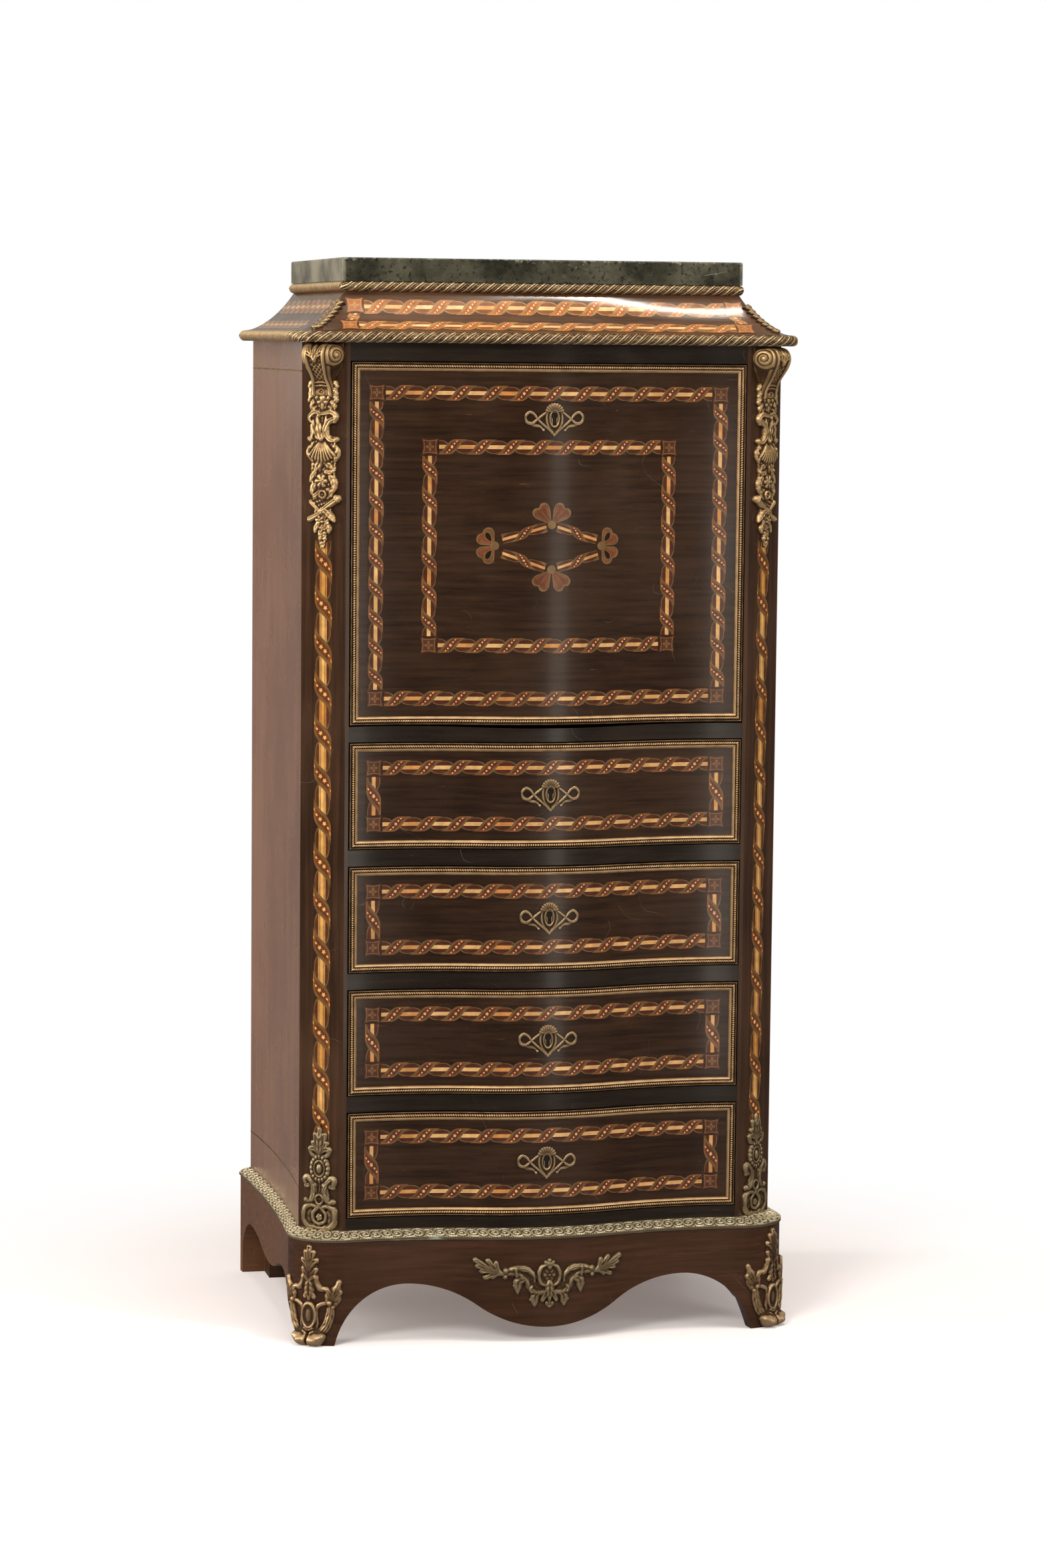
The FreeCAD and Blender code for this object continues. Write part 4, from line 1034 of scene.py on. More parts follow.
def make_piece(name: str, shape: Shape, finish: Finish, *replaced: str,
               body: str = "carcase", crease: float = 40.0) -> None:
    """Puts a shape into the frame as one piece.

    Args:
        name: the piece's name.
        shape: its points and faces in desk millimetres.
        finish: its finish.
        replaced: nodes that it stands for.
        body: the body that it rides on.
        crease: edges sharper than this angle in degrees stay sharp.
    """
    points = (shape.points - [0.0, MIDDLE_Y, 0.0]) * MM
    corners = np.concatenate([shape.quads.ravel(), shape.tris.ravel()]).astype(np.int32)
    fours, threes = len(shape.quads), len(shape.tris)
    starts = np.concatenate([np.arange(fours) * 4, fours * 4 + np.arange(threes) * 3]).astype(np.int32)
    mesh = bpy.data.meshes.new(name)
    mesh.vertices.add(len(points))
    mesh.vertices.foreach_set("co", points.ravel().astype(np.float32))
    mesh.loops.add(len(corners))
    mesh.loops.foreach_set("vertex_index", corners)
    mesh.polygons.add(fours + threes)
    mesh.polygons.foreach_set("loop_start", starts)
    mesh.update(calc_edges=True)
    mesh.validate()
    mesh.shade_smooth()
    mesh.set_sharp_from_angle(angle=math.radians(crease))
    if shape.uv is not None:
        layer = mesh.uv_layers.new(name="map")
        layer.data.foreach_set("uv", shape.uv[corners].ravel().astype(np.float32))
    # The relief value sets the gilding's painted highlight and painted shade.
    if shape.relief is not None:
        values = mesh.attributes.new("relief", "FLOAT", "POINT")
        values.data.foreach_set("value", shape.relief.astype(np.float32))
    mesh.materials.append(finish.material())
    piece = bpy.data.objects.new(name, mesh)
    bpy.context.scene.collection.objects.link(piece)
    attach(piece, body)
    finish.slot
    if replaced:
        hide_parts(*replaced)
    LOG.info("%s: %d points on %s", name, len(points), body)


def paint(finish: Finish, *nodes: str) -> None:
    """Gives carried-over nodes a finish.

    Args:
        finish: the finish.
        nodes: their names.
    """
    for name in nodes:
        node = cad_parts[name]
        if not node.material_slots:
            node.data.materials.append(None)
        for place in node.material_slots:
            place.material = finish.material()
        LOG.info("%s: %s", name, finish.name)


def front_skin(half: float, low: float, high: float, shift: float = 0.0) -> Shape:
    """A thin veneer on the bowed front: y = serpentine(x) + shift - skin on a grid of x and z."""
    x, z = np.meshgrid(np.linspace(-half, half, 131), np.linspace(low, high, 9))
    return sheet(on_front(shift), x, z, SKIN, SKIN + 0.3)


def band(start: Point, end: Point, half: float, turns: float, place: Place, count: int = 60,
         lift: float = SKIN + INLAY_LIFT, first: float = 0.0, hand: float = 1.0) -> Shape:
    """A strip of ribbon inlay: u counts its turns from start to end, v runs to the left of that way.

    Args:
        start, end: middles of its first and last edge on the carrying face.
        half: half width.
        turns: how often the ribbon goes round.
        place: carries across, height and relief to points.
        count: columns along the strip.
        lift: how far it stands out of the carrying face.
        first: the turn at which it starts.
        hand: 1, or -1 for a ribbon that winds the other way.

    Returns:
        The closed strip.
    """
    a, b = np.array(start, float), np.array(end, float)
    along = (b - a) / np.linalg.norm(b - a)
    left = np.array([-along[1], along[0]])
    t, v = np.meshgrid(np.linspace(0, 1, count), np.linspace(-1, 1, 3))
    spot = a + t[..., None] * (b - a) + (v * half)[..., None] * left
    return sheet(place, spot[..., 0], spot[..., 1], lift, 0.4, (first + t * turns, hand * v))


def square(centre: Point, half: Point, place: Place, lift: float = SKIN + 2 * INLAY_LIFT,
           thick: float = 0.4) -> Shape:
    """A square patch of inlay round a centre, with a map from -1 to 1."""
    u, v = np.meshgrid(np.linspace(-1, 1, 7), np.linspace(-1, 1, 7))
    return sheet(place, centre[0] + u * half[0], centre[1] + v * half[1], lift, thick, (u, v))


def inlay_frame(half: float, low: float, high: float, across: int, upright: int) -> tuple[Shape, Shape]:
    """A rectangle of ribbon bands on the front, with a square at each corner.

    Args:
        half: half width between the middles of the upright bands.
        low, high: middles of the lower and the upper band.
        across, upright: turns along each level and each upright band.

    Returns:
        The bands and the squares.
    """
    place = on_front(0.0)
    width, corner, lap = 10.6, 10.4, 1.0
    inset = corner - lap
    inner = half - inset
    bands = [band((-inner, z), (inner, z), width, across, place, 90) for z in (low, high)]
    bands += [band((x, high - inset), (x, low + inset), width, upright, place, 12) for x in (-half, half)]
    reach = (corner * 1.12, corner * 1.12)
    squares = [square((x, z), reach, place) for x in (-half, half) for z in (low, high)]
    return Shape.joined(bands), Shape.joined(squares)


def frame_moulding(half: float, low: float, high: float) -> Shape:
    """A mitred frame on the bowed front, as a profile carried round a rectangle.

    Across its 11 mm lie a string of small beads, a hollow, a row of gadroons and a round fillet; their
    heights swell with the distance along each side. Rows run across the profile, columns round the frame.

    Args:
        half: half width over all.
        low, high: lower and upper edge.

    Returns:
        The closed frame, with its relief value of painted highlight and shade.
    """
    step, gadroon_pitch, bead_pitch = 0.6, 3.1, 1.9
    v = np.array([0.0, 0.0, 0.5, 1.1, 1.7, 2.3, 2.9, 3.5, 4.4, 5.3,
                  6.1, 6.7, 7.3, 8.2, 9.1, 9.8, 10.4, 11.0, 11.0])
    base = np.array([-0.3, 1.2, 1.6, 2.0, 1.6, 0.9, 0.8, 1.5, 2.1, 2.1,
                     1.5, 1.0, 2.0, 2.9, 2.5, 1.5, 1.3, 1.1, -0.3])
    bead = np.array([0, 0, 0.4, 0.6, 0.4] + [0] * 14)[:, None]
    swell = np.array([0] * 7 + [1.0, 1.7, 1.7, 1.0] + [0] * 5 + [0.25, 0.25, 0])[:, None]
    corners = [(-half, high), (half, high), (half, low), (-half, low)]
    signs = [(1, -1), (-1, -1), (-1, 1), (1, 1)]
    spots, runs = [], []
    for k in range(4):
        a, b = np.array(corners[k]), np.array(corners[(k + 1) % 4])
        length = np.linalg.norm(b - a)
        t = np.arange(0, 1, 1 / int(length / step))
        start, end = a + np.outer(v, signs[k]), b + np.outer(v, signs[(k + 1) % 4])
        spots.append(start[:, None] + t[None, :, None] * (end - start)[:, None])
        runs.append(t * length)
    spot, run = np.concatenate(spots, axis=1), np.concatenate(runs)
    gadroon = np.abs(np.cos(np.pi * run / gadroon_pitch)) ** 0.7
    string = np.abs(np.cos(np.pi * run / bead_pitch))
    h = base[:, None] + bead * string + swell * gadroon
    # Painted highlight and shade for the gilding: each place across the profile gets a level, lighter on the
    # beads, gadroons and fillet, darker in the hollow.
    levels = [0.2, 0.6, 0.1, 0.72, 0.2, 1.0, 0.85, 0.5]
    painted_highlight_levels = np.interp(v, [0, 1.1, 2.3, 4.9, 6.7, 8.2, 9.4, 11.0], levels)[:, None]
    relief = np.clip(painted_highlight_levels + 1.1 * (swell > 0.5) * (gadroon - 0.52) + 0.5 * (bead > 0) * (string - 0.6), 0, 1)
    points = on_front(0.0)(spot[..., 0], spot[..., 1], h).reshape(-1, 3)
    quads = grid_quads(*h.shape, loop_rows=True, loop_cols=True)
    return Shape(points, quads, relief=relief.ravel()).outward()


def capped(points: Array, closed_rows: bool, middles: Array, relief: Array | None = None) -> Shape:
    """A tube from a grid of points that is closed one way round, with a fan of triangles on each open end.

    Args:
        points: rows x columns x 3 points.
        closed_rows: whether the rows go round it, or else the columns.
        middles: the middle of each end.
        relief: value of each point of the grid.

    Returns:
        The closed tube.
    """
    rows, cols = points.shape[:2]
    count = rows * cols
    numbers = np.arange(count).reshape(rows, cols)
    first, last = (numbers[:, 0], numbers[:, -1]) if closed_rows else (numbers[-1], numbers[0])
    fans = [np.stack([first, np.roll(first, -1), np.full(len(first), count)], -1),
            np.stack([np.roll(last, -1), last, np.full(len(last), count + 1)], -1)]
    tone = None if relief is None else np.concatenate([relief.ravel(), [0.5, 0.5]])
    quads = grid_quads(rows, cols, loop_rows=closed_rows, loop_cols=not closed_rows)
    points = np.concatenate([points.reshape(-1, 3), middles])
    return Shape(points, quads, np.concatenate(fans), relief=tone).outward()


def carried(plan: Array, profile: Callable[[Array, Array], tuple[Array, Array, Array]], rows: int) -> Shape:
    """A moulding whose profile is carried along an open plan line and closed at its ends.

    Args:
        plan: n x 2 points from the desk's left back to its right back.
        profile: gives how far out, how high and the relief, from a row share 0 to 1 and the run; the last row
            is taken back to the first.
        rows: number of rows of the profile.

    Returns:
        The closed moulding.
    """
    out, z, relief = np.broadcast_arrays(*profile(np.linspace(0, 1, rows)[:, None], run_of(plan)))
    points = np.concatenate([plan + outward_of(plan) * out[..., None], z[..., None]], -1)
    return capped(points, True, np.stack([points[:, 0].mean(axis=0), points[:, -1].mean(axis=0)]), relief)


@dataclass
class Window:
    """Part of a relief's grid round a path.

    Its rows and columns, and for each point the share of the path that is nearest and the distance from it
    over the path's reach there.
    """

    rows: slice
    cols: slice
    share: Array
    away: Array


class Relief:
    """Chased metal as a height over a grid: h(u, w) is the highest of its strokes, leaves, beads and shells.

    Forms with twin set get their mirror image across u = 0 as well. Each form gives back the relief.
    """

    def __init__(self, half: float, low: float, high: float, step: float = 0.7, full: float = 1.0) -> None:
        """Starts a blank grid below the carrying face.

        Args:
            half: half width.
            low, high: lower and upper edge.
            step: distance between grid points.
            full: widens the strokes and leaves.
        """
        self.full = full
        self.u = np.arange(-half, half + step, step)
        self.w = np.arange(low, high + step, step)
        self.across, self.up = np.meshgrid(self.u, self.w)
        self.height = np.full(self.across.shape, -1.0)

    def near(self, path: Array, radius: Array) -> Window:
        """Nearest place on a path for each grid point round it, by distance over radius.

        Args:
            path: n x 2 points.
            radius: reach at each of them.

        Returns:
            The window.
        """
        reach = float(radius.max())
        low, high = path.min(axis=0) - reach, path.max(axis=0) + reach
        rows = slice(*np.searchsorted(self.w, [low[1], high[1]]))
        cols = slice(*np.searchsorted(self.u, [low[0], high[0]]))
        du = self.across[rows, cols, None] - path[:, 0]
        dw = self.up[rows, cols, None] - path[:, 1]
        ratio = np.sqrt(du**2 + dw**2) / np.maximum(radius, 1e-3)
        return Window(rows, cols, ratio.argmin(axis=-1) / max(len(path) - 1, 1), ratio.min(axis=-1))

    def lift(self, value: Array, inside: Array, window: Window | None = None) -> None:
        """Raises the grid, or the window of it, to a form's value where it is inside the form."""
        part = self.height if window is None else self.height[window.rows, window.cols]
        np.copyto(part, np.maximum(part, value), where=inside)

    def lines(self, knots: list[Point], twin: bool) -> list[Array]:
        """Smooth lines through the knots, and through their mirror image."""
        return [flowing([(flip * a, b) for a, b in knots]) for flip in ((1, -1) if twin else (1,))]

    def stroke(self, knots: list[Point], widths: tuple[float, ...], height: float, ribs: int = 0,
               twin: bool = True) -> "Relief":
        """A round-backed stem: height x root(1 - t^2) over the distance t from a smooth line.

        With two ribs or more it is a leafy scroll, with a scalloped edge and slanting notches every 14 mm.

        Args:
            knots: points of the line.
            widths: widths along it.
            height: height of its back.
            ribs: ridges along it.
            twin: adds its mirror image.

        Returns:
            The relief.
        """
        for path in self.lines(knots, twin):
            share = np.linspace(0, 1, len(path))
            radius = self.full * np.interp(share, np.linspace(0, 1, len(widths)), widths) / 2
            cups = len(path) * 0.5 / 14.0
            if ribs > 1:
                radius *= 0.96 + 0.08 * np.abs(np.sin(np.pi * cups * share))
            near = self.near(path, radius)
            t = near.away
            value = height * np.sqrt(np.maximum(1 - t**2, 0))
            value *= 0.75 + 0.25 * np.interp(near.share, share, radius) / radius.max()
            if ribs:
                value *= 1 - 0.3 * np.cos(np.pi * ribs * t) ** 2 * (t < 0.9)
            if ribs > 1:
                value *= 1 - 0.16 * np.abs(np.cos(np.pi * (cups * near.share - 0.6 * t))) ** 8 * (t > 0.2)
            self.lift(value, t < 1, near)
        return self

    def leaf(self, knots: list[Point], width: float, height: float, lobes: int = 4,
             twin: bool = True) -> "Relief":
        """A lobed leaf: its edge swells and pinches along the line, with a sunk midrib and veins.

        Args:
            knots: points of the midrib from the base to the tip.
            width: greatest width.
            height: height of its back.
            lobes: number of lobes on each side.
            twin: adds its mirror image.

        Returns:
            The relief.
        """
        for path in self.lines(knots, twin):
            s = np.linspace(0, 1, len(path))
            edge = np.sin(np.pi * np.clip(s * 0.93 + 0.07, 0, 1) ** 0.75) ** 0.7
            swell = 0.82 + 0.18 * np.abs(np.sin(np.pi * lobes * s))
            near = self.near(path, self.full * width / 2 * np.maximum(edge * swell, 0.12))
            t = near.away
            vein = np.sin(np.pi * lobes * (near.share - 0.3 * t)) ** 4 * (t > 0.2)
            value = height * (0.25 + 0.75 * np.sqrt(np.maximum(1 - t**2, 0)))
            self.lift(value * (1 - 0.26 * np.exp(-((t / 0.18) ** 2)) - 0.16 * vein), t < 1, near)
        return self

    def spray(self, base: Point, tips: list[Point], width: float, height: float,
              twin: bool = True) -> "Relief":
        """Leaf fingers from one base: each bends towards the spray's middle way and swells to a round tip.

        Args:
            base: where they start.
            tips: where they end.
            width: width at the tips.
            height: height of their backs.
            twin: adds their mirror image.

        Returns:
            The relief.
        """
        middle = np.mean(tips, axis=0) - base
        widths = (0.6 * width, 0.8 * width, 1.05 * width, 0.95 * width)
        for tip in tips:
            bend = np.array(base) + 0.3 * (np.array(tip) - base) + 0.28 * middle
            self.stroke([base, tuple(bend), tip], widths, height, 1, twin)
        return self

    def boss(self, u: float, w: float, wide: float, tall: float, height: float,
             twin: bool = False) -> "Relief":
        """An oval dome: height x root(1 - t^2) over the share t of its half axes.

        Args:
            u, w: its middle across and up.
            wide, tall: half width and height.
            height: its height.
            twin: adds its mirror image.

        Returns:
            The relief.
        """
        for middle in (u, -u) if twin else (u,):
            t = np.hypot((self.across - middle) / wide, (self.up - w) / tall)
            self.lift(height * np.sqrt(np.maximum(1 - t**2, 0)), t < 1)
        return self

    def bead(self, u: float, w: float, radius: float, height: float, twin: bool = False) -> "Relief":
        """A round boss."""
        return self.boss(u, w, radius, radius, height, twin)

    def ring(self, u: float, w: float, wide: float, tall: float, thick: float, height: float,
             cups: int = 0) -> "Relief":
        """An oval ring with a round back, scalloped where it has cups.

        Args:
            u, w: its middle across and up.
            wide, tall: half width and height to the middle of its back.
            thick: its thickness.
            height: its height.
            cups: number of scallops.

        Returns:
            The relief.
        """
        du, dw = (self.across - u) / wide, (self.up - w) / tall
        t = np.abs(np.hypot(du, dw) - 1) * min(wide, tall) / (thick / 2)
        value = height * np.sqrt(np.maximum(1 - t**2, 0))
        if cups:
            value *= 0.62 + 0.38 * np.abs(np.cos(np.arctan2(dw, du) * cups / 2))
        self.lift(value, t < 1)
        return self

    def plate(self, w: float, wide: float, tall: float, height: float) -> "Relief":
        """A low oval plate on the middle line.

        Args:
            w: its middle up.
            wide, tall: half width and height.
            height: its height.

        Returns:
            The relief.
        """
        t = np.hypot(self.across / wide, (self.up - w) / tall)
        self.lift(np.full_like(t, height), t < 1)
        return self

    def flower(self, u: float, w: float, radius: float, height: float, petals: int = 5,
               twin: bool = False) -> "Relief":
        """An open flower: petals swell with the angle round a central bead.

        Args:
            u, w: its middle across and up.
            radius: its radius.
            height: its height.
            petals: number of petals.
            twin: adds its mirror image.

        Returns:
            The relief.
        """
        for flip in (1, -1) if twin else (1,):
            du, dw = flip * self.across - u, self.up - w
            lobe = np.abs(np.cos(np.arctan2(dw, du) * petals / 2)) ** 0.6
            t = np.hypot(du, dw) / (radius * (0.78 + 0.22 * lobe))
            cup = (1 - 0.3 * t**2) * (1 - 0.5 * np.exp(-((t / 0.32) ** 2)))
            self.lift(height * (0.6 + 0.3 * lobe) * cup, t < 1)
            self.bead(flip * u, w, radius * 0.26, height)
        return self

    def shell(self, u: float, w: float, radius: float, low: float, high: float, height: float) -> "Relief":
        """A fan of nine flutes: ridges spread from its foot and rise towards a scalloped rim.

        Args:
            u, w: its foot across and up.
            radius: its reach.
            low, high: angles of its first and last edge in degrees.
            height: height at the rim.

        Returns:
            The relief.
        """
        du, dw = self.across - u, self.up - w
        cos, sin = (f(math.radians((low + high) / 2)) for f in (math.cos, math.sin))
        turn = np.arctan2(cos * dw - sin * du, cos * du + sin * dw) / math.radians((high - low) / 2)
        rib = np.abs(np.cos(np.pi * 9 * (turn + 1) / 2 + np.pi / 2)) ** 0.7
        t = np.hypot(du, dw) / (radius * (0.88 + 0.12 * rib))
        value = height * (0.66 + 0.34 * rib) * (0.45 + 0.55 * np.sin(np.clip(t, 0, 1) * 2.4))
        self.lift(value, (t < 1) & (np.abs(turn) < 1))
        return self

    def sink(self, low: Point, high: Point, width: float, depth: float) -> "Relief":
        """Cuts a groove between two points.

        Args:
            low, high: its ends.
            width, depth: its width and depth.

        Returns:
            The relief.
        """
        path = flowing([low, high])
        near = self.near(path, np.full(len(path), width / 2))
        part = self.height[near.rows, near.cols]
        cut = np.maximum(part - depth * (1 - near.away**2), 0.3)
        np.copyto(part, cut, where=(near.away < 1) & (part > 0))
        return self

    def cut(self, where: Array, height: Array | float = -1.0) -> "Relief":
        """Sets the grid to a height in some places; -1 opens it."""
        self.height = np.where(where, height, self.height)
        return self

    def cast(self, place: Place, lift: float = 0.0, back: float = -1.2) -> Shape:
        """Closes the parts of the grid that stand proud into a solid, softened a little.

        Args:
            place: carries across, height and relief to points.
            lift: extra distance out of the carrying face.
            back: where the hidden back lies.

        Returns:
            The closed casting with its relief value: lower in the hollows next to high places, as painted
                shade with patina, and higher with the height, as a painted highlight.
        """
        rows, cols = self.height.shape
        quads = grid_quads(rows, cols)
        quads = quads[(self.height.ravel() > 0)[quads].any(axis=1)]
        edges = np.stack([quads, np.roll(quads, -1, axis=1)], -1).reshape(-1, 2)
        code = edges @ [rows * cols, 1]
        rim = edges[~np.isin(code, edges @ [1, rows * cols])]
        used, index = np.unique(quads, return_inverse=True)
        quads, rim = index.reshape(-1, 4), np.searchsorted(used, rim)
        total = len(used)
        walls = np.stack([rim[:, 1], rim[:, 0], rim[:, 0] + total, rim[:, 1] + total], -1)
        h = np.maximum(self.height, -0.4)
        solid = (self.height > 0).astype(float)
        steps = [(s, axis) for axis in (0, 1) for s in (-1, 1)]
        for _ in range(2):
            gathered = 2 * h * solid + sum(np.roll(h * solid, s, axis) for s, axis in steps)
            weight = 2 * solid + sum(np.roll(solid, s, axis) for s, axis in steps)
            h = np.where(solid > 0, gathered / np.maximum(weight, 1), h)
        soft = h.copy()
        for axis in (0, 0, 0, 0, 1, 1, 1, 1):
            soft = (np.roll(soft, 2, axis) + soft + np.roll(soft, -2, axis)) / 3
        # Painted shade: the value falls in hollows next to high places, like ambient occlusion, and rises
        # with the height as a painted highlight.
        tone = np.clip(0.32 + (h - soft) / 1.7 + 0.4 * h / h.max(), 0, 1).ravel()[used]
        u, w = self.across.ravel()[used], self.up.ravel()[used]
        points = np.concatenate([place(u, w, h.ravel()[used] + lift), place(u, w, np.full(total, back))])
        faces = np.concatenate([quads, quads[:, ::-1] + total, walls])
        return Shape(points, faces, relief=np.concatenate([tone, tone])).outward()


# Sub-assemblies


def arch_height(s: Array, legs: Point, arch: float, arch_z: float, drop_z: float) -> Array:
    """Lower edge of an apron: an arch beside each leg and a drop in the middle, from tangent arcs.

    Args:
        s: distances from the apron's middle.
        legs: how far the first and the last leg stand from it.
        arch: where the arches are highest.
        arch_z: their height.
        drop_z: height of the drop.

    Returns:
        Heights over the floor.
    """
    out = np.abs(s)
    leg = np.where(s < 0, *legs)
    rise = arch_z - drop_z
    wave = (arch**2 + rise**2) / (4 * rise)
    haunch = ((leg - arch) ** 2 + arch_z**2) / (2 * arch_z)
    outer = arch_z - haunch + np.sqrt(np.maximum(haunch**2 - (out - arch) ** 2, 0))
    crest = arch_z - wave + np.sqrt(np.maximum(wave**2 - (out - arch) ** 2, 0))
    drop = drop_z + wave - np.sqrt(np.maximum(wave**2 - out**2, 0))
    edge = np.where(out >= arch, outer, np.where(out >= arch / 2, crest, drop))
    return np.where(out >= leg, 0.0, np.maximum(edge, 0.0))


def upright(plan: Array, z: Array) -> Array:
    """Points of a wall: plan points, the same or different in each row, at each row's heights."""
    return np.concatenate([np.broadcast_to(plan, z.shape + (2,)), z[..., None]], -1)


def apron(outer: Array, inner: Array, low: Array, rows: int = 12) -> Shape:
    """A board between two plan lines, from a lower edge with a height at each point to the plinth's top."""
    z = low + np.linspace(0, 1, rows)[:, None] * (PLINTH_TOP - low)
    return slab(upright(outer, z), upright(inner, z))


@dataclass
class Plinth:
    """Aprons, feet, base moulding and their mounts."""

    half: float = 331.0
    corner_y: float = 36.0
    seam: float = 262.0
    out: float = 22.0
    bulge: float = 20.0
    thick: float = 32.0
    arch_z: float = 78.0
    front_leg: float = 279.0
    front_crest: float = 185.0
    front_drop: float = 19.0
    side_leg: float = 190.0
    side_crest: float = 135.0
    side_drop: float = 55.0
    heel_y: float = 7.3
    heel_thick: float = 18.0
    heel_top_y: float = 105.5
    block: float = 40.0
    block_at: Point = (259.0, 389.0)
    lip: float = 2.0
    scroll_length: float = 14.0
    scroll_width: float = 20.0
    scroll_turn: float = 5.0
    rib_pitch: float = 3.6
    bead_pitch: float = 3.0

    def front_arch(self, x: Array) -> Array:
        """Height of the front apron's lower edge at x."""
        legs = (self.front_leg, self.front_leg)
        return arch_height(x, legs, self.front_crest, self.arch_z, self.front_drop)

    def side_arch(self, y: Array) -> Array:
        """Height of the side aprons' lower edge, which also cuts the heels of the front feet.

        Args:
            y: depths.

        Returns:
            Heights over the floor.
        """
        middle = (self.corner_y + DEPTH) / 2
        legs = (middle - self.heel_y, self.side_leg)
        return arch_height(y - middle, legs, self.side_crest, self.arch_z, self.side_drop)

    def build(self) -> None:
        """Makes all pieces of the plinth."""
        self.boards()
        self.moulding()
        self.foot_mounts()
        self.apron_mount()
        paint(OAK_LEVEL, "back_apron", "bottom_board")

    def corner(self, count: int) -> Array:
        """Plan of the right foot's rounded face, as a number of points on its arc."""
        start = (self.seam, float(FRONT.depth(np.array(self.seam))) - self.out)
        return bowed_line(start, (self.half, self.corner_y), self.bulge, count)

    def boards(self) -> None:
        """Front apron, side aprons and feet as smooth boards."""
        x = np.linspace(-self.seam, self.seam, 181)
        face = np.stack([x, FRONT.depth(x) - self.out], -1)
        front = apron(face, face + [0, self.thick], self.front_arch(x))
        make_piece("front_apron_veneer", front, PLINTH, "front_apron")
        side = bowed_line((self.half, self.corner_y), (self.half, DEPTH), -SIDE_HOLLOW, 241)
        inner = np.stack([np.full(len(side), self.half - self.thick), side[:, 1]], -1)
        right = apron(side, inner, self.side_arch(side[:, 1]))
        make_piece("side_apron_veneers", right.pair(), PLINTH_SIDE_PAINTED_LIGHTER, "side_aprons")
        block = np.array(self.block_at) + [[0, 0], [self.block, 0]]
        rear = apron(block, block + [0, self.block], np.zeros(2), 2)
        feet = Shape.joined([self.foot(), rear]).pair()
        make_piece("corner_feet_veneer", feet, PLINTH, "corner_feet")

    def foot(self) -> Shape:
        """The right front foot: a rounded face, and a back that leaves the face behind the heel as it rises.

        Returns:
            The closed foot.
        """
        face = self.corner(81)
        low = np.maximum(self.front_arch(face[:, 0]), self.side_arch(face[:, 1]))
        z = low + np.linspace(0, 1, 20)[:, None] * (PLINTH_TOP - low)
        end = (self.half - self.thick, self.corner_y)
        back = bowed_line((self.seam, face[0, 1] + self.thick), end, 0, len(face))
        rise = np.clip(z / self.side_arch(np.array(self.heel_top_y)), 0, 1)[..., None]
        inside = (1 - rise) * (face - self.heel_thick * outward_of(face)) + rise * back
        return slab(upright(face, z), upright(inside, z))

    def moulding(self) -> None:
        """Sloping band of leaf scrolls round the foot of the case.

        Each row lies between the lip's plan and the case's plan. The relief is a spiral in each repeat,
        turned to and fro, over slanting ribs that wave with the row.
        """
        counts = (340, 90, 470)
        edge_at = (self.half + self.lip, self.corner_y)
        lip = case_plan(self.seam, -self.out - self.lip, edge_at, self.bulge, counts)
        case = case_plan(FRONT_HALF, 0.0, (BODY_HALF, CANT_BACK), 0.0, counts)
        run, v = run_of(lip), np.linspace(0, 1, 24)[:, None]
        cell = run / self.scroll_length
        hand = np.where(np.floor(cell) % 2 == 0, 1.0, -1.0)
        part = self.scroll_length * (cell - np.floor(cell) - 0.5)
        along, high = np.broadcast_arrays(part, self.scroll_width * (v - 0.5))
        turn = 2 * np.pi * np.hypot(along, high) / self.scroll_turn - hand * np.arctan2(high, along)
        scroll = 0.5 + 0.5 * np.cos(turn)
        ribs = np.abs(np.sin(np.pi * (run + 3.0 * np.sin(6.0 * v)) / self.rib_pitch))
        edge = np.clip(np.minimum(v, 1 - v) / 0.1, 0, 1)
        beads = 0.35 + 0.3 * np.abs(np.sin(np.pi * run / self.bead_pitch))
        relief = edge * (0.72 * scroll + 0.3 * ribs) + (1 - edge) * beads
        slope = lip + v[..., None] * (case - lip)
        z = PLINTH_TOP + 2.6 + 6.4 * v + 2.2 * relief + 0.4 * np.sin(np.pi * v)
        flat = np.full((1, len(lip)), PLINTH_TOP)
        swell = 0.8 * (relief * edge)[..., None] * outward_of(lip)
        top = np.concatenate([upright(lip, flat), upright(slope + swell, z), upright(case, flat)])
        under = lip + np.linspace(0, 1, len(top))[:, None, None] * (case - lip)
        shape = slab(top, upright(under, np.full(top.shape[:2], PLINTH_TOP - 0.1)))
        # The relief value follows the scroll's height: painted shade in the low places and on the flat edges,
        # painted highlight on the raised ones.
        tone = np.concatenate([np.zeros_like(flat), relief, np.zeros_like(flat)])
        shape.relief = np.concatenate([np.clip(1.5 * tone - 0.22, 0, 1).ravel()] * 2)
        make_piece("base_moulding_chased", shape, CRUSTED, "base_moulding")

    def on_foot(self, u: Array, w: Array, h: Array) -> Array:
        """Places relief on the right foot's rounded face.

        Args:
            u: distance along its arc from the middle.
            w: height over the floor.
            h: distance out of the face.

        Returns:
            Points.
        """
        ends = self.corner(2)
        chord = ends[1] - ends[0]
        half = np.linalg.norm(chord) / 2
        along = chord / (2 * half)
        out = np.array([along[1], -along[0]])
        radius = (half**2 + self.bulge**2) / (2 * self.bulge)
        middle = ends.mean(axis=0) + out * (self.bulge - radius)
        turn = (u / radius)[..., None]
        return upright(middle + (radius + h)[..., None] * (np.sin(turn) * along + np.cos(turn) * out), w)

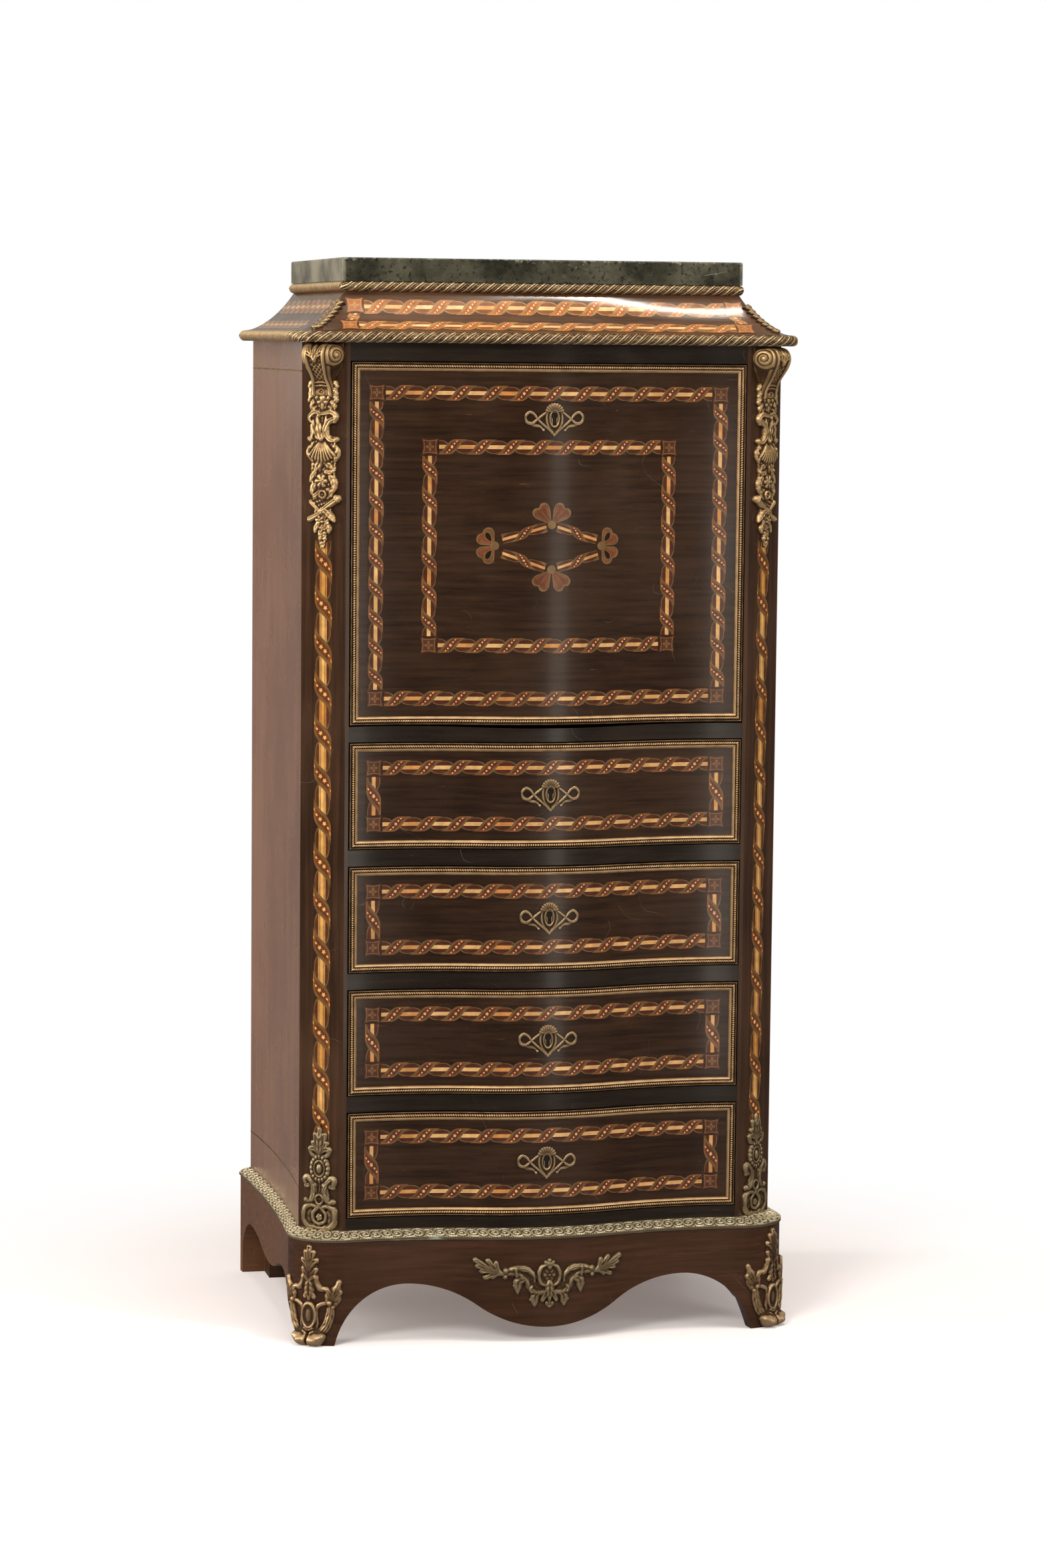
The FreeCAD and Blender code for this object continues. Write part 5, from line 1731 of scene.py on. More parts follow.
    def foot_mounts(self) -> None:
        """Leafy shoes with an oval cartouche, side branches and a rolled toe."""
        r = Relief(47.0, 0.6, 133.0, full=1.28)
        r.stroke([(0, 60), (0, 84), (0, 108), (0, 128)], (7, 8, 8, 5), 4.0, 1, False)
        r.leaf([(0, 92), (0, 108), (0, 126)], 17, 4.4, 4, False)
        r.spray((0, 96), [(0, 129), (5, 122), (9, 112)], 7.0, 5.4)
        r.spray((0, 84), [(9, 100), (8, 91)], 6.0, 5.0)
        r.bead(0, 128, 3.2, 3.6).sink((0, 128), (0, 128.5), 2.4, 3.0)
        r.stroke([(2, 86), (8, 91), (10, 83), (15, 76), (23, 75)], (5, 6.5, 6.5, 6.5, 5), 5.4, 2)
        r.bead(8.5, 90, 3.2, 5.4, True)
        r.leaf([(0, 84), (0, 72), (0, 60)], 13, 5.2, 4, False)
        r.spray((0, 76), [(6, 64)], 5.5, 5.0)
        r.leaf([(28, 54), (33, 66), (38, 82)], 15, 5.0, 4).leaf([(27, 56), (27, 65), (24, 75)], 10, 4.8, 3)
        r.spray((28, 54), [(39, 84), (35, 77), (40, 71), (24, 74)], 6.0, 5.8)
        r.bead(27, 57, 4.4, 6.6, True).bead(31, 52, 3.2, 6.0, True)
        r.stroke([(28, 58), (28, 44), (23, 27), (13, 15), (6, 10)], (7, 9, 9.5, 9.5, 9), 6.6, 2)
        r.stroke([(27, 56), (19, 56), (11, 51), (10.5, 40), (11, 28), (8, 18)], (4.5, 4.5, 4, 3.5, 4, 6),
                 4.8, 1)
        r.plate(39.5, 9.6, 16.4, 3.6)
        r.ring(0, 39.5, 9.0, 15.8, 3.6, 6.4)
        r.boss(0, 39.5, 7.2, 13.6, 5.0)
        r.stroke([(-6, 23), (0, 20), (6, 23)], (3, 4, 3), 6.6, twin=False)
        r.stroke([(-7, 19), (0, 15.5), (7, 19)], (3.4, 4.4, 3.4), 8.0, twin=False)
        r.stroke([(3, 8), (10, 9), (17, 13)], (13, 15, 9), 15.0)
        r.bead(8.5, 8.6, 7.6, 17.4, True).bead(17, 12, 4.6, 10.5, True)
        r.sink((0, 2), (0, 18), 4.0, 5.0)
        make_piece("foot_mounts_chased", r.cast(self.on_foot).pair(), FOOT, "foot_mounts")

    def apron_mount(self) -> None:
        """Ring cartouche with a flower, an acanthus drop and S-scroll arms that end in flaring leaves."""
        r = Relief(100.0, 43.5, 111.5, full=1.3)
        r.plate(88, 12.0, 12.5, 1.4)
        r.stroke([(3, 74), (11, 77.5), (14, 88), (10.5, 98), (3, 102)], (4, 5, 5.2, 4.8, 4), 5.8, 2)
        r.flower(0, 88, 8.8, 4.6, 6)
        r.spray((0, 99), [(5, 105)], 4.4, 6.2)
        r.leaf([(0, 97), (0, 102), (0, 107)], 6, 6.4, 2, False)
        r.bead(0, 107.5, 3.2, 6.2)
        r.leaf([(0, 79), (0, 68), (0, 54)], 11, 6.6, 4, False)
        r.spray((0, 73), [(9, 56)], 6.4, 6.2)
        r.flower(0, 51, 6.2, 5.4, 4)
        r.stroke([(1, 69), (10, 65), (19, 66), (26, 73), (31, 82), (39, 89), (50, 91), (58, 90)],
                 (5, 7, 7.5, 7, 6, 6, 5.5, 5), 5.6, 2)
        r.stroke([(19.5, 80), (21, 88), (30, 95), (43, 96.5), (57, 94)], (4, 6, 8.5, 7.5, 5), 5.0, 2)
        r.stroke([(15, 70), (24, 78), (31, 88), (42, 92)], (8, 11, 9, 6), 3.4, 3)
        r.stroke([(43, 87), (44, 93), (44, 98)], (3, 3.4, 3), 6.4)
        r.stroke([(24, 66), (25.5, 70), (23, 74)], (3, 3.4, 3), 6.4)
        r.bead(57.5, 94.5, 4.2, 6.4, True).bead(58, 86.5, 3.4, 5.6, True)
        r.spray((60, 90), [(96, 108.5), (93, 101), (88, 94.5)], 6.4, 6.2)
        r.spray((60, 90), [(80, 107.5), (70, 104.5), (83, 86), (74, 87)], 6.2, 5.8)
        r.leaf([(33, 83), (41, 80), (42, 64)], 10, 5.2, 4)
        r.spray((38, 82), [(45.5, 75)], 4.6, 4.8)
        r.leaf([(15, 66), (19, 60), (19.5, 47)], 10, 5.2, 4)
        r.spray((17, 62), [(24, 56)], 4.6, 4.8)
        make_piece("apron_mount_chased", r.cast(on_front(-self.out)), GREENED, "apron_mount")


@dataclass
class Case:
    """Side panels, posts, rails and the corner mounts of the case."""

    stile: float = 261.0
    rail_back: float = 1.0
    post_inlay: float = 13.6
    post_ends: Point = (1040.0, 262.0)
    line_heights: Point = (1254.0, 196.0)
    line_width: float = 2.0
    scroll_low: float = 1221.0
    scroll_high: float = 1290.4
    eye_z: float = 1275.6
    eye_out: float = 15.0
    eye_radius: float = 14.6
    eye_hole: float = 4.2
    fall_low: float = 1224.0
    fall_out: float = 21.6
    plate_out: float = 8.0
    face_half: float = 15.4
    waist_z: float = 1247.0
    flare_low: float = 1232.0
    flare_rise: float = 38.0
    flare: float = 11.5
    rim_high: float = 1262.0
    cheek_span: float = 30.0
    cheek_back: float = 2.6
    corbel_half: float = 21.0

    def build(self) -> None:
        """Makes all pieces of the case."""
        self.veneers()
        self.posts()
        self.lower_mounts()
        self.upper_mounts()
        paint(RAIL, "drawer_rails", "top_rail")
        paint(SIDE, "left_side_panel", "right_side_panel")
        paint(OAK, "drawer_runners", "desk_floor", "top_board")
        paint(OAK_LEVEL, "back_panel")
        paint(BRASS, "hinge_bushes", "stay_keepers")
        paint(NEST, "nest_case", "inner_drawer_left", "inner_drawer_right")

    def veneers(self) -> None:
        """Smooth veneers on the rails and the hollow sides, with brass lines let into each side."""
        lows = [DRAWER_LOW + DRAWER_PITCH * n for n in range(4)]
        starts = [CASE_BOTTOM - PANEL_GAP, *(low + DRAWER_HEIGHT for low in lows[:3]), FLAP_HIGH]
        ends = [*lows, CASE_TOP + PANEL_GAP]
        strips = [front_skin(self.stile, low + PANEL_GAP, high - PANEL_GAP, self.rail_back)
                  for low, high in zip(starts, ends)]
        make_piece("rail_veneers", Shape.joined(strips), RAIL)
        make_piece("side_veneers", self.side_sheet(CASE_BOTTOM, CASE_TOP, SKIN, 0.8).pair(), SIDE)
        lines = [self.side_sheet(z, z + self.line_width, SKIN + 0.12, 0.5) for z in self.line_heights]
        make_piece("side_brass_lines", Shape.joined(lines).pair(), BRASS)

    def side_sheet(self, low: float, high: float, lift: float, thick: float) -> Shape:
        """A thin sheet over the whole depth of the right side, hollowed by its shallow arc.

        Args:
            low, high: lower and upper edge.
            lift: how far it stands out of the side.
            thick: its thickness.

        Returns:
            The closed sheet.
        """
        plan = bowed_line((BODY_HALF, CANT_BACK), (BODY_HALF, DEPTH), -SIDE_HOLLOW, 81)

        def on_side(y: Array, z: Array, h: Array) -> Array:
            """Points on the side at a depth and a height, moved out by h."""
            return np.stack([np.interp(y, plan[:, 1], plan[:, 0]) + h, y, z], -1)

        return sheet(on_side, *np.meshgrid(plan[:, 1], np.linspace(low, high, 9)), lift, thick)

    def posts(self) -> None:
        """Ribbon inlay down each canted corner; the left one winds the other way."""
        high, low = self.post_ends
        right = band((0.0, high), (0.0, low), self.post_inlay, 14, on_cant, 30, 0.25)
        left = right.mirrored()
        left.uv = left.uv * [1.0, -1.0]
        make_piece("post_ribbon_inlay", Shape.joined([right, left]), POST_RIBBON)
        paint(POST, "corner_posts")

    def lower_mounts(self) -> None:
        """Leaf spray over an oval cabochon, paired C-scrolls, an interlace and a wreath with a flower."""
        r = Relief(27.0, 146.2, 283.0, full=1.25)
        r.stroke([(0, 240), (0, 258), (0, 276)], (9, 10, 6), 3.6, twin=False)
        r.leaf([(0, 246), (0, 262), (0, 282)], 11, 6.2, 4, False)
        r.spray((0, 244), [(6.5, 270), (9.5, 259), (12.5, 252)], 7.2, 5.8)
        r.bead(0, 267, 2.2, 6.8)
        r.stroke([(4, 242), (11, 244), (14.5, 251)], (4, 5.5, 5.5), 5.6, 1)
        r.plate(226, 12.5, 15.5, 3.0)
        r.ring(0, 226, 12.0, 15.0, 6.4, 5.8, 16)
        r.ring(0, 226, 7.6, 10.4, 2.6, 5.6)
        r.boss(0, 226, 5.6, 8.2, 6.6)
        r.bead(0, 242.5, 3.0, 5.8).bead(0, 208.5, 2.8, 5.0)
        r.stroke([(6, 204), (11, 208), (17, 213), (21, 211), (20, 206)], (7, 9, 9, 7.5, 6), 6.4, 2)
        r.stroke([(16, 203), (20, 202)], (6, 5), 5.6, 1)
        r.stroke([(13, 209), (8, 199), (9, 188), (14, 182), (20, 183)], (7, 9, 9.5, 8, 6), 6.6, 2)
        r.bead(19, 184, 3.4, 6.6, True)
        r.stroke([(0, 210), (0, 200), (0, 192)], (4, 3.4, 4), 3.4, twin=False)
        r.ring(0, 185.5, 5.4, 6.0, 3.4, 5.6)
        r.flower(0, 185.5, 3.6, 4.0, 4)
        r.stroke([(3.5, 181), (0, 176.5), (-4, 173), (-9.5, 166), (-8, 157), (0, 153)],
                 (3.6, 4.2, 4.2, 4.4, 4.4, 4.4), 6.2, 1)
        r.flower(0, 162, 5.0, 5.6, 5)
        r.stroke([(6, 176), (14, 177), (21, 171), (22, 159), (16, 150), (8, 149.5)],
                 (6, 7.5, 8, 8, 7.5, 6), 6.6, 2)
        r.stroke([(13, 169), (16, 163), (14, 156)], (6, 7, 6), 4.0)
        r.flower(15.5, 166, 3.6, 5.4, 5, True).flower(15.5, 158.5, 3.4, 5.4, 5, True)
        r.stroke([(-9, 149), (0, 148), (9, 149)], (4, 5, 4), 5.0, twin=False)
        make_piece("lower_corner_mounts_chased", r.cast(on_cant).pair(), GREENED, "lower_corner_mounts")

    def scroll_reach(self, z: Array) -> Array:
        """How far the scroll corbel stands out at a height.

        Args:
            z: heights over the floor.

        Returns:
            A circle about the volute's eye above it, and an S-curve down to the plate below it.
        """
        roll = self.eye_out + np.sqrt(np.maximum(self.eye_radius**2 - (z - self.eye_z) ** 2, 0))
        fall = np.clip((z - self.fall_low) / (self.eye_z - self.fall_low), 0, 1) ** 1.15
        return np.where(z >= self.eye_z, roll, self.plate_out + self.fall_out * fall * fall * (3 - 2 * fall))

    def scroll_half(self, z: Array) -> Array:
        """Half width of the scroll corbel's face at a height: a waist between its plate and its roll."""
        return self.face_half - 3.4 * np.exp(-(((z - self.waist_z) / 12.0) ** 2))

    def scroll_flare(self, z: Array) -> Array:
        """How much wider the scroll is on the post than on its face, which grows up to the volute."""
        rise = np.clip((z - self.flare_low) / self.flare_rise, 0, 1)
        return self.flare * rise * rise * (3 - 2 * rise)

    def cheek(self, side: float) -> Shape:
        """One cheek of the scroll: a plate within its outline, a rim along it and a spiral round an eye.

        Args:
            side: 1 or -1.

        Returns:
            The closed cheek on the right corner.
        """
        r = Relief(self.cheek_span, self.scroll_low + 0.5, self.scroll_high, 0.6)
        reach = self.scroll_reach(r.up) - self.cheek_back
        real = r.across / self.cheek_span * reach
        shown = r.across > -1.0
        rim = np.clip(1 - np.abs(reach - real - 2.4) / 2.4, 0, 1) ** 0.5
        r.cut(shown, 0.8 + 1.6 * rim * (r.up < self.rim_high))
        out, up = real - 14.0, r.up - self.eye_z
        away = np.hypot(out, up)
        turn = away / 5.2 - np.arctan2(up, out) / (2 * np.pi)
        groove = np.exp(-(((turn - np.round(turn)) / 0.13) ** 2)) * (away > 4.4)
        dome = 1.0 + 4.2 * np.sqrt(np.maximum(1 - (away / 15.0) ** 2, 0)) - 1.2 * groove
        r.lift(dome, shown & (away < self.eye_radius))
        eye = np.sqrt(np.maximum(1 - (away / self.eye_hole) ** 2, 0))
        r.cut(shown & (away < self.eye_hole), 3.4 + 2.4 * eye)

        def place(a: Array, b: Array, h: Array) -> Array:
            """Places the cheek between the post, at share 0, and the scroll's face, at share 1.

            Args:
                a, b: places out of the post and up.
                h: relief.

            Returns:
                The points.
            """
            share = a / self.cheek_span
            half = self.scroll_half(b) + self.scroll_flare(b) * (1 - share)
            return on_cant(side * (half - 0.6 + h), b, share * (self.scroll_reach(b) - self.cheek_back))

        return r.cast(place, back=-3.0)

    def corbel(self) -> Shape:
        """Front of the scroll: rolled edges, a husk over a lattice, two mouldings and a plate with a disc.

        The grid is equally wide everywhere and is drawn in to the scroll's own width at each height.

        Returns:
            The closed front on the right corner.
        """
        r = Relief(self.corbel_half, self.scroll_low, self.scroll_high, 0.6)
        r.height[:] = 4.6
        r.stroke([(16.4, 1214), (16.4, 1256), (16.4, 1296)], (10.5, 10.5, 10.5), 8.2)
        net = (np.abs(r.across) < 10.6) & (r.up > 1241.0) & (r.up < 1270.0)
        slope = r.across * self.scroll_half(r.up) / self.corbel_half
        weave = np.maximum(*(np.abs(np.sin(np.pi * (r.up + way * slope) / 6.0)) for way in (1, -1)))
        r.cut(net, 4.0 + 1.6 * np.clip((weave - 0.84) / 0.16, 0, 1))
        for rise in (1236.5, 1240.5):
            r.stroke([(-12, rise), (0, rise + 0.8), (12, rise)], (3.2, 3.4, 3.2), 7.6, twin=False)
        r.stroke([(-19, 1228), (0, 1228), (19, 1228)], (14, 14, 14), 6.4, twin=False)
        r.ring(0, 1229, 5.4, 3.4, 2.4, 8.4).boss(0, 1229, 2.6, 1.6, 8.0)
        r.leaf([(0, 1268), (0, 1278), (0, 1290)], 14, 9.8, 2, False)
        r.spray((0, 1270), [(12, 1287), (16, 1279)], 9.5, 9.4)
        r.bead(0, 1269.5, 4.0, 9.8)
        r.height *= 0.35 + 0.65 * np.clip((r.up - self.scroll_low) / 4.0, 0, 1) ** 0.5

        def place(u: Array, w: Array, h: Array) -> Array:
            """Draws the grid in and moves it out with the scroll."""
            out = h + np.maximum(self.scroll_reach(w) - 7.0, 0.0)
            return on_cant(u * self.scroll_half(w) / self.corbel_half, w, out)

        return r.cast(place, back=-6.0)

    def upper_mounts(self) -> None:
        """Scroll corbel, garlands, a cartouche, a shell, a rose, crossed sticks and a flower drop."""
        r = Relief(26.0, 1030.0, 1246.0, full=1.15)
        r.stroke([(0, 1228), (0, 1190), (-1, 1150), (-1, 1110), (0, 1075), (0, 1034)],
                 (31, 31, 31, 29, 19, 6), 2.4, twin=False)
        weave = np.sin(2 * np.pi * r.up / 11.0 + r.across / 5.0)
        lumps = weave * np.sin(2 * np.pi * (r.across / 9.0 + 0.3 * np.sin(r.up / 4.5)))
        r.cut(r.height > 0, 2.6 + 2.8 * np.abs(lumps) ** 0.7)
        r.bead(0, 1221, 7.0, 6.2).bead(9, 1222, 4.6, 6.2, True)
        for u, w, size in ((18.5, 1238, 4.2), (17.5, 1229, 4.8), (18.5, 1221, 4.4), (15.5, 1213, 4.8),
                           (13.5, 1206, 4.0)):
            r.leaf([(u - 2.5, w + size), (u, w), (u + 2, w - size - 1)], 1.5 * size, 6.0, 2)
            r.bead(u - 1.5, w + 1.0, 0.5 * size, 6.6, True)
        r.spray((0, 1206), [(8, 1220), (4.5, 1214)], 5.6, 6.2)
        r.bead(4.6, 1216, 3.4, 6.8, True).leaf([(0, 1222), (0, 1214), (0, 1205)], 7, 6.8, 2, False)
        r.stroke([(17, 1191), (19, 1197), (11, 1203.5), (3, 1201.5), (-4, 1202), (-12, 1203.5),
                 (-19, 1198), (-17, 1191)],
                 (4, 6.5, 7.5, 6, 6, 7.5, 6.5, 4), 8.2, 1, False)
        r.bead(5, 1199, 3.4, 9.0)
        r.stroke([(0, 1168), (2, 1182), (3, 1199)], (8, 17, 28), 5.4, 3, False)
        r.leaf([(1, 1168), (4, 1182), (8, 1198)], 11, 8.4, 3, False)
        r.leaf([(0, 1168), (-4, 1183), (-6, 1199)], 9, 8.0, 3, False)
        r.leaf([(3, 1168), (11, 1180), (14, 1195)], 10, 7.0, 3, False)
        r.stroke([(-18, 1196), (-10, 1192.5), (-5, 1184), (-5.5, 1175), (-11, 1168), (-19.5, 1168)],
                 (6, 8, 8.5, 8, 7, 5), 8.4, 1, False)
        r.bead(-20, 1169, 3.4, 8.0)
        r.stroke([(16, 1186), (14.5, 1177), (17.5, 1168.5), (20, 1170)], (5, 5.5, 5.5, 5), 7.4, 1, False)
        window = (np.hypot((r.across + 15.5) / 8.0, (r.up - 1181.0) / 8.5) < 1) & (r.across < -9.5)
        r.cut(window)
        r.bead(1, 1169, 3.6, 10.0)
        r.shell(0.5, 1171, 31.0, 226.0, 312.0, 9.0)
        for u, w in ((-17, 1160), (-20, 1153), (-18.5, 1145), (19, 1158), (20, 1150)):
            r.bead(u, w, 3.4, 6.6)
        r.leaf([(-14, 1162), (-21, 1152), (-17, 1139)], 8, 5.6, 4, False)
        r.leaf([(14, 1162), (21, 1152), (16, 1141)], 7, 5.6, 4, False)
        r.leaf([(2, 1143), (6, 1135), (11, 1128)], 12, 7.0, 3, False)
        r.leaf([(-3, 1142), (-9, 1136), (-16, 1131)], 10, 6.6, 3, False)
        r.leaf([(-4, 1128), (-10, 1127), (-18, 1129)], 8, 7.4, 3, False)
        r.leaf([(9, 1128), (14, 1122), (18, 1114)], 8, 6.4, 3, False)
        r.flower(1, 1116, 9.4, 9.0, 6).flower(1, 1116, 5.4, 9.8, 5)
        r.leaf([(-11, 1123), (-16, 1114), (-18, 1103)], 10, 7.0, 3, False)
        r.leaf([(10, 1112), (14, 1106), (15, 1098)], 9, 6.8, 2, False)
        r.leaf([(-6, 1106), (-12, 1103), (-17, 1106)], 6, 6.4, 2, False)
        r.ring(-1, 1099, 4.4, 4.4, 4.0, 8.4)
        r.bead(-1, 1099, 2.2, 8.8)
        r.stroke([(3, 1103), (7, 1100), (12, 1096)], (6, 7, 5), 6.8, 1, False)
        r.stroke([(-8, 1094), (-12, 1099), (-15, 1103)], (5, 5, 4), 6.4, 1, False)
        r.stroke([(17, 1089), (8, 1081), (-5, 1070)], (6, 6, 5), 7.2, 1, False)
        r.stroke([(-22, 1094), (-10, 1086), (2, 1078)], (8, 7.5, 6), 8.6, 1, False)
        r.stroke([(-19, 1096), (-22, 1091)], (5, 5), 9.4, 0, False)
        r.stroke([(19, 1067), (9, 1072), (0, 1078)], (7, 6.5, 6), 7.6, 1, False)
        r.leaf([(-3, 1079), (-11, 1072), (-18, 1064)], 10, 7.6, 4, False)
        r.flower(0, 1078, 5.0, 9.2, 5)
        r.flower(3, 1066, 6.4, 8.2, 5).flower(-5, 1064, 5.0, 7.4, 5).flower(-1, 1056, 5.2, 7.6, 5)
        r.leaf([(4, 1063), (9, 1056), (11, 1049)], 8, 6.2, 3, False)
        r.leaf([(-5, 1062), (-9, 1055), (-9, 1049)], 8, 6.2, 3, False)
        r.flower(0, 1048, 5.4, 7.4, 5).bead(3.4, 1042, 3.0, 6.4).bead(-3.4, 1042, 3.0, 6.2)
        r.bead(0, 1037, 3.2, 6.2).bead(0.4, 1032.5, 2.2, 4.6)
        right = Shape.joined([r.cast(on_cant), self.corbel(), self.cheek(1.0), self.cheek(-1.0)])
        make_piece("upper_corner_mounts_chased", right.pair(), GILT, "upper_corner_mounts")


@dataclass
class Cornice:
    """Hollowed cornice with its inlay, ropes, sprigs and marble.

    Its plan goes from a square neck, at a spread of 0, to a wide bowed foot, at 1.
    """

    slant: float = 0.47
    neck_half: float = 261.5
    neck_radius: float = 3.0
    neck_y: float = 46.0
    flare_half: float = 68.5
    flare_radius: float = 42.0
    flare_y: float = 54.0
    rope_pitch: float = 13.3
    rope_bead: float = 3.4
    strip_phase: float = 0.66
    foot_rope: float = 7.0
    neck_rope: float = 6.5
    band_high: float = 0.62
    band_low: float = 0.16
    sprig_length: float = 74.0
    cap_y: float = 250.0

    def build(self) -> None:
        """Makes all pieces of the cornice."""
        self.cove()
        self.inlay()
        self.ropes()
        self.sprigs()
        paint(MARBLE, "marble_top")

    def spread(self, level: Array) -> Array:
        """How far the hollow stands out, 1 to 0, at a share of its height: steep above, flat below."""
        fall = 1 - level
        return self.slant * fall + (1 - self.slant) * (1 - np.sqrt(np.maximum(1 - fall**2, 0)))

    def sizes(self, spread: Array) -> tuple[Array, Array, Array, Array]:
        """Sizes of the plan at a spread.

        Args:
            spread: 0 at the neck, 1 at the foot.

        Returns:
            Half width, corner radius, half width of the bowed front and its shift to the back.
        """
        half = self.neck_half + self.flare_half * spread
        radius = self.neck_radius + self.flare_radius * spread
        return half, radius, half - radius, self.neck_y - self.flare_y * spread

    def plan(self, spread: float, counts: tuple[int, int, int]) -> Array:
        """Open plan line from the cornice's left back to its right back.

        Args:
            spread: 0 at the neck, 1 at the foot.
            counts: points on each side, each corner and the front.

        Returns:
            n x 2 points: straight sides, quarter circles and the serpentine with its bow scaled by spread.
        """
        half, radius, flat, shift = self.sizes(spread)
        x = np.linspace(-flat, flat, counts[2])
        front = np.stack([x, shift + spread * FRONT.depth(x * FRONT_HALF / flat)], -1)
        heel = front[-1, 1] + radius
        turn = np.linspace(0, math.pi / 2, counts[1] + 1)[1:]
        corner = np.stack([flat + radius * np.sin(turn), heel - radius * np.cos(turn)], -1)
        side = np.stack([np.full(counts[0], half), np.linspace(heel, DEPTH, counts[0] + 1)[1:]], -1)
        return both_ways(np.concatenate([corner, side]), front)

    def cove(self) -> None:
        """The hollow as plan lines stacked by height, closed along the back and by caps."""
        levels = np.concatenate([[0.0], np.linspace(0, 1, 26) ** 1.3, [1.0]])
        heights = COVE_LOW + COVE_RISE * levels
        heights[0], heights[-1] = CASE_TOP, MARBLE_LOW
        plans = np.stack([self.plan(float(s), (12, 16, 121)) for s in self.spread(levels)])
        points = upright(plans, np.broadcast_to(heights[:, None], plans.shape[:2]))
        middles = np.array([[0.0, self.cap_y, z] for z in (MARBLE_LOW, CASE_TOP)])
        make_piece("cornice_veneer", capped(points, False, middles), COVE, "cornice", crease=30.0)

    def lean(self, level: Array, flare: float) -> tuple[Array, Array]:
        """Which way the hollow faces, from its slope by a central difference.

        Args:
            level: share of the hollow's height.
            flare: how far its foot stands out of its neck.

        Returns:
            The outward and the upward part of its normal.
        """
        step = 0.01
        run = flare * (self.spread(level + step) - self.spread(level - step)) / (2 * step)
        norm = np.hypot(run, COVE_RISE)
        return COVE_RISE / norm, -run / norm

    def on_cove(self, x: Array, level: Array, h: Array) -> Array:
        """Places inlay on the front of the hollow.

        Args:
            x: distance from the middle.
            level: share of the hollow's height.
            h: distance out of it.

        Returns:
            Points, moved out along the slope's normal.
        """
        spread = self.spread(level)
        _, _, flat, shift = self.sizes(spread)
        out, up = self.lean(level, self.flare_y)
        y = shift + spread * FRONT.depth(np.clip(x, -flat, flat) * FRONT_HALF / flat)
        return np.stack([x, y - h * out, COVE_LOW + COVE_RISE * level + h * up], -1)

    def on_cheek(self, y: Array, level: Array, h: Array) -> Array:
        """Places inlay on the right side of the hollow.

        Args:
            y: depth.
            level: share of the hollow's height.
            h: distance out of it.

        Returns:
            Points, moved out along the slope's normal.
        """
        half = self.sizes(self.spread(level))[0]
        out, up = self.lean(level, self.flare_half)
        return np.stack([half + h * out, y, COVE_LOW + COVE_RISE * level + h * up], -1)

    def strip(self, start: Point, end: Point, half: Point, turns: int, place: Place) -> Shape:
        """A ribbon strip on the hollow.

        Args:
            start, end: middles of its first and last edge.
            half: how its long edge lies from its middle, in both coordinates.
            turns: how often the ribbon goes round.
            place: carries two coordinates and relief to points.

        Returns:
            The closed strip.
        """
        t, v = np.meshgrid(np.linspace(0, 1, 90), np.linspace(-1, 1, 7))
        a, b = (start[k] + t * (end[k] - start[k]) + v * half[k] for k in (0, 1))
        return sheet(place, a, b, 0.14, 0.6, (t * turns, v))

    def inlay(self) -> None:
        """Two ribbon bands round the hollow with squares and slanting links at the front's ends."""
        high, low = self.band_high, self.band_low
        front = [((-240.0, high), (240.0, high), (0.0, 0.2), 12),
                 ((-252.0, low), (252.0, low), (0.0, 0.11), 12),
                 ((-249.0, high - 0.15), (-258.0, low + 0.1), (10.0, 0.02), 1),
                 ((249.0, high - 0.15), (258.0, low + 0.1), (10.0, -0.02), 1)]
        cheek = [((75.0, high), (436.0, high), (0.0, 0.19), 9), ((82.0, low), (436.0, low), (0.0, 0.11), 9)]
        bands = [self.strip(*each, self.on_cove) for each in front]
        bands.append(Shape.joined([self.strip(*each, self.on_cheek) for each in cheek]).pair())
        make_piece("cornice_ribbon_inlay", Shape.joined(bands), COVE_RIBBON)
        spots = [((250.0, high + 0.03), (12.0, 0.2)), ((260.0, low), (12.0, 0.115))]
        squares = Shape.joined([square(middle, half, self.on_cove, 0.4, 0.7) for middle, half in spots])
        make_piece("cornice_square_inlay", squares.pair(), COVE_SQUARE)

    def rope(self, spread: float, radius: float, z: float) -> Shape:
        """A half-round rope: plain ribs and beaded strips wind round it at a slant.

        The radius at turn a and run s follows the phase (s - radius x a) / pitch; the rib is a raised cosine,
        and the strip between ribs carries beads along its length.

        Args:
            spread: which plan line of the cornice it follows.
            radius: its greatest radius.
            z: height of its middle.

        Returns:
            The closed rope.
        """

        def crest(phase: Array, gain: float, drop: float) -> Array:
            """A ridge where the phase is whole: a cosine, steepened and cut off at 0 and 1."""
            return np.clip(np.cos(2 * np.pi * phase) * gain - drop, 0, 1)

        def profile(share: Array, run: Array) -> tuple[Array, Array, Array]:
            """Section of the rope, where the row share is an angle over the half round.

            Args:
                share: row share from 0 to 1.
                run: distance along the rope.

            Returns:
                How far out, how high and the relief.
            """
            angle = (share - 0.5) * math.pi
            phase = (run - radius * angle) / self.rope_pitch
            rib = crest(phase, 4.0, 2.8) + 0.7 * crest(phase - 0.34, 5.0, 4.0)
            strip = crest(phase - self.strip_phase, 3.0, 0.9)
            row = np.abs(np.sin(2 * np.pi * (phase - self.strip_phase) * 2.3))
            bead = strip * row * np.abs(np.sin(np.pi * (run + 1.2 * radius * angle) / self.rope_bead))
            # Painted highlight on the ribs and beads and painted shade between them, as the relief value for
            # the gilding.
            tone = np.clip(0.3 + 0.75 * rib + 0.6 * bead - 0.06 * strip, 0, 1)
            reach = radius * (0.82 + 0.18 * np.maximum(rib, 0.8 * bead))
            back = np.clip((np.abs(share - 0.5) - 0.47) / 0.03, 0, 1)
            return reach * np.cos(angle) * (1 - back) - 1.5 * back, z + reach * np.sin(angle), tone

        return carried(even(self.plan(spread, (200, 60, 300)), 0.85), profile, 19)

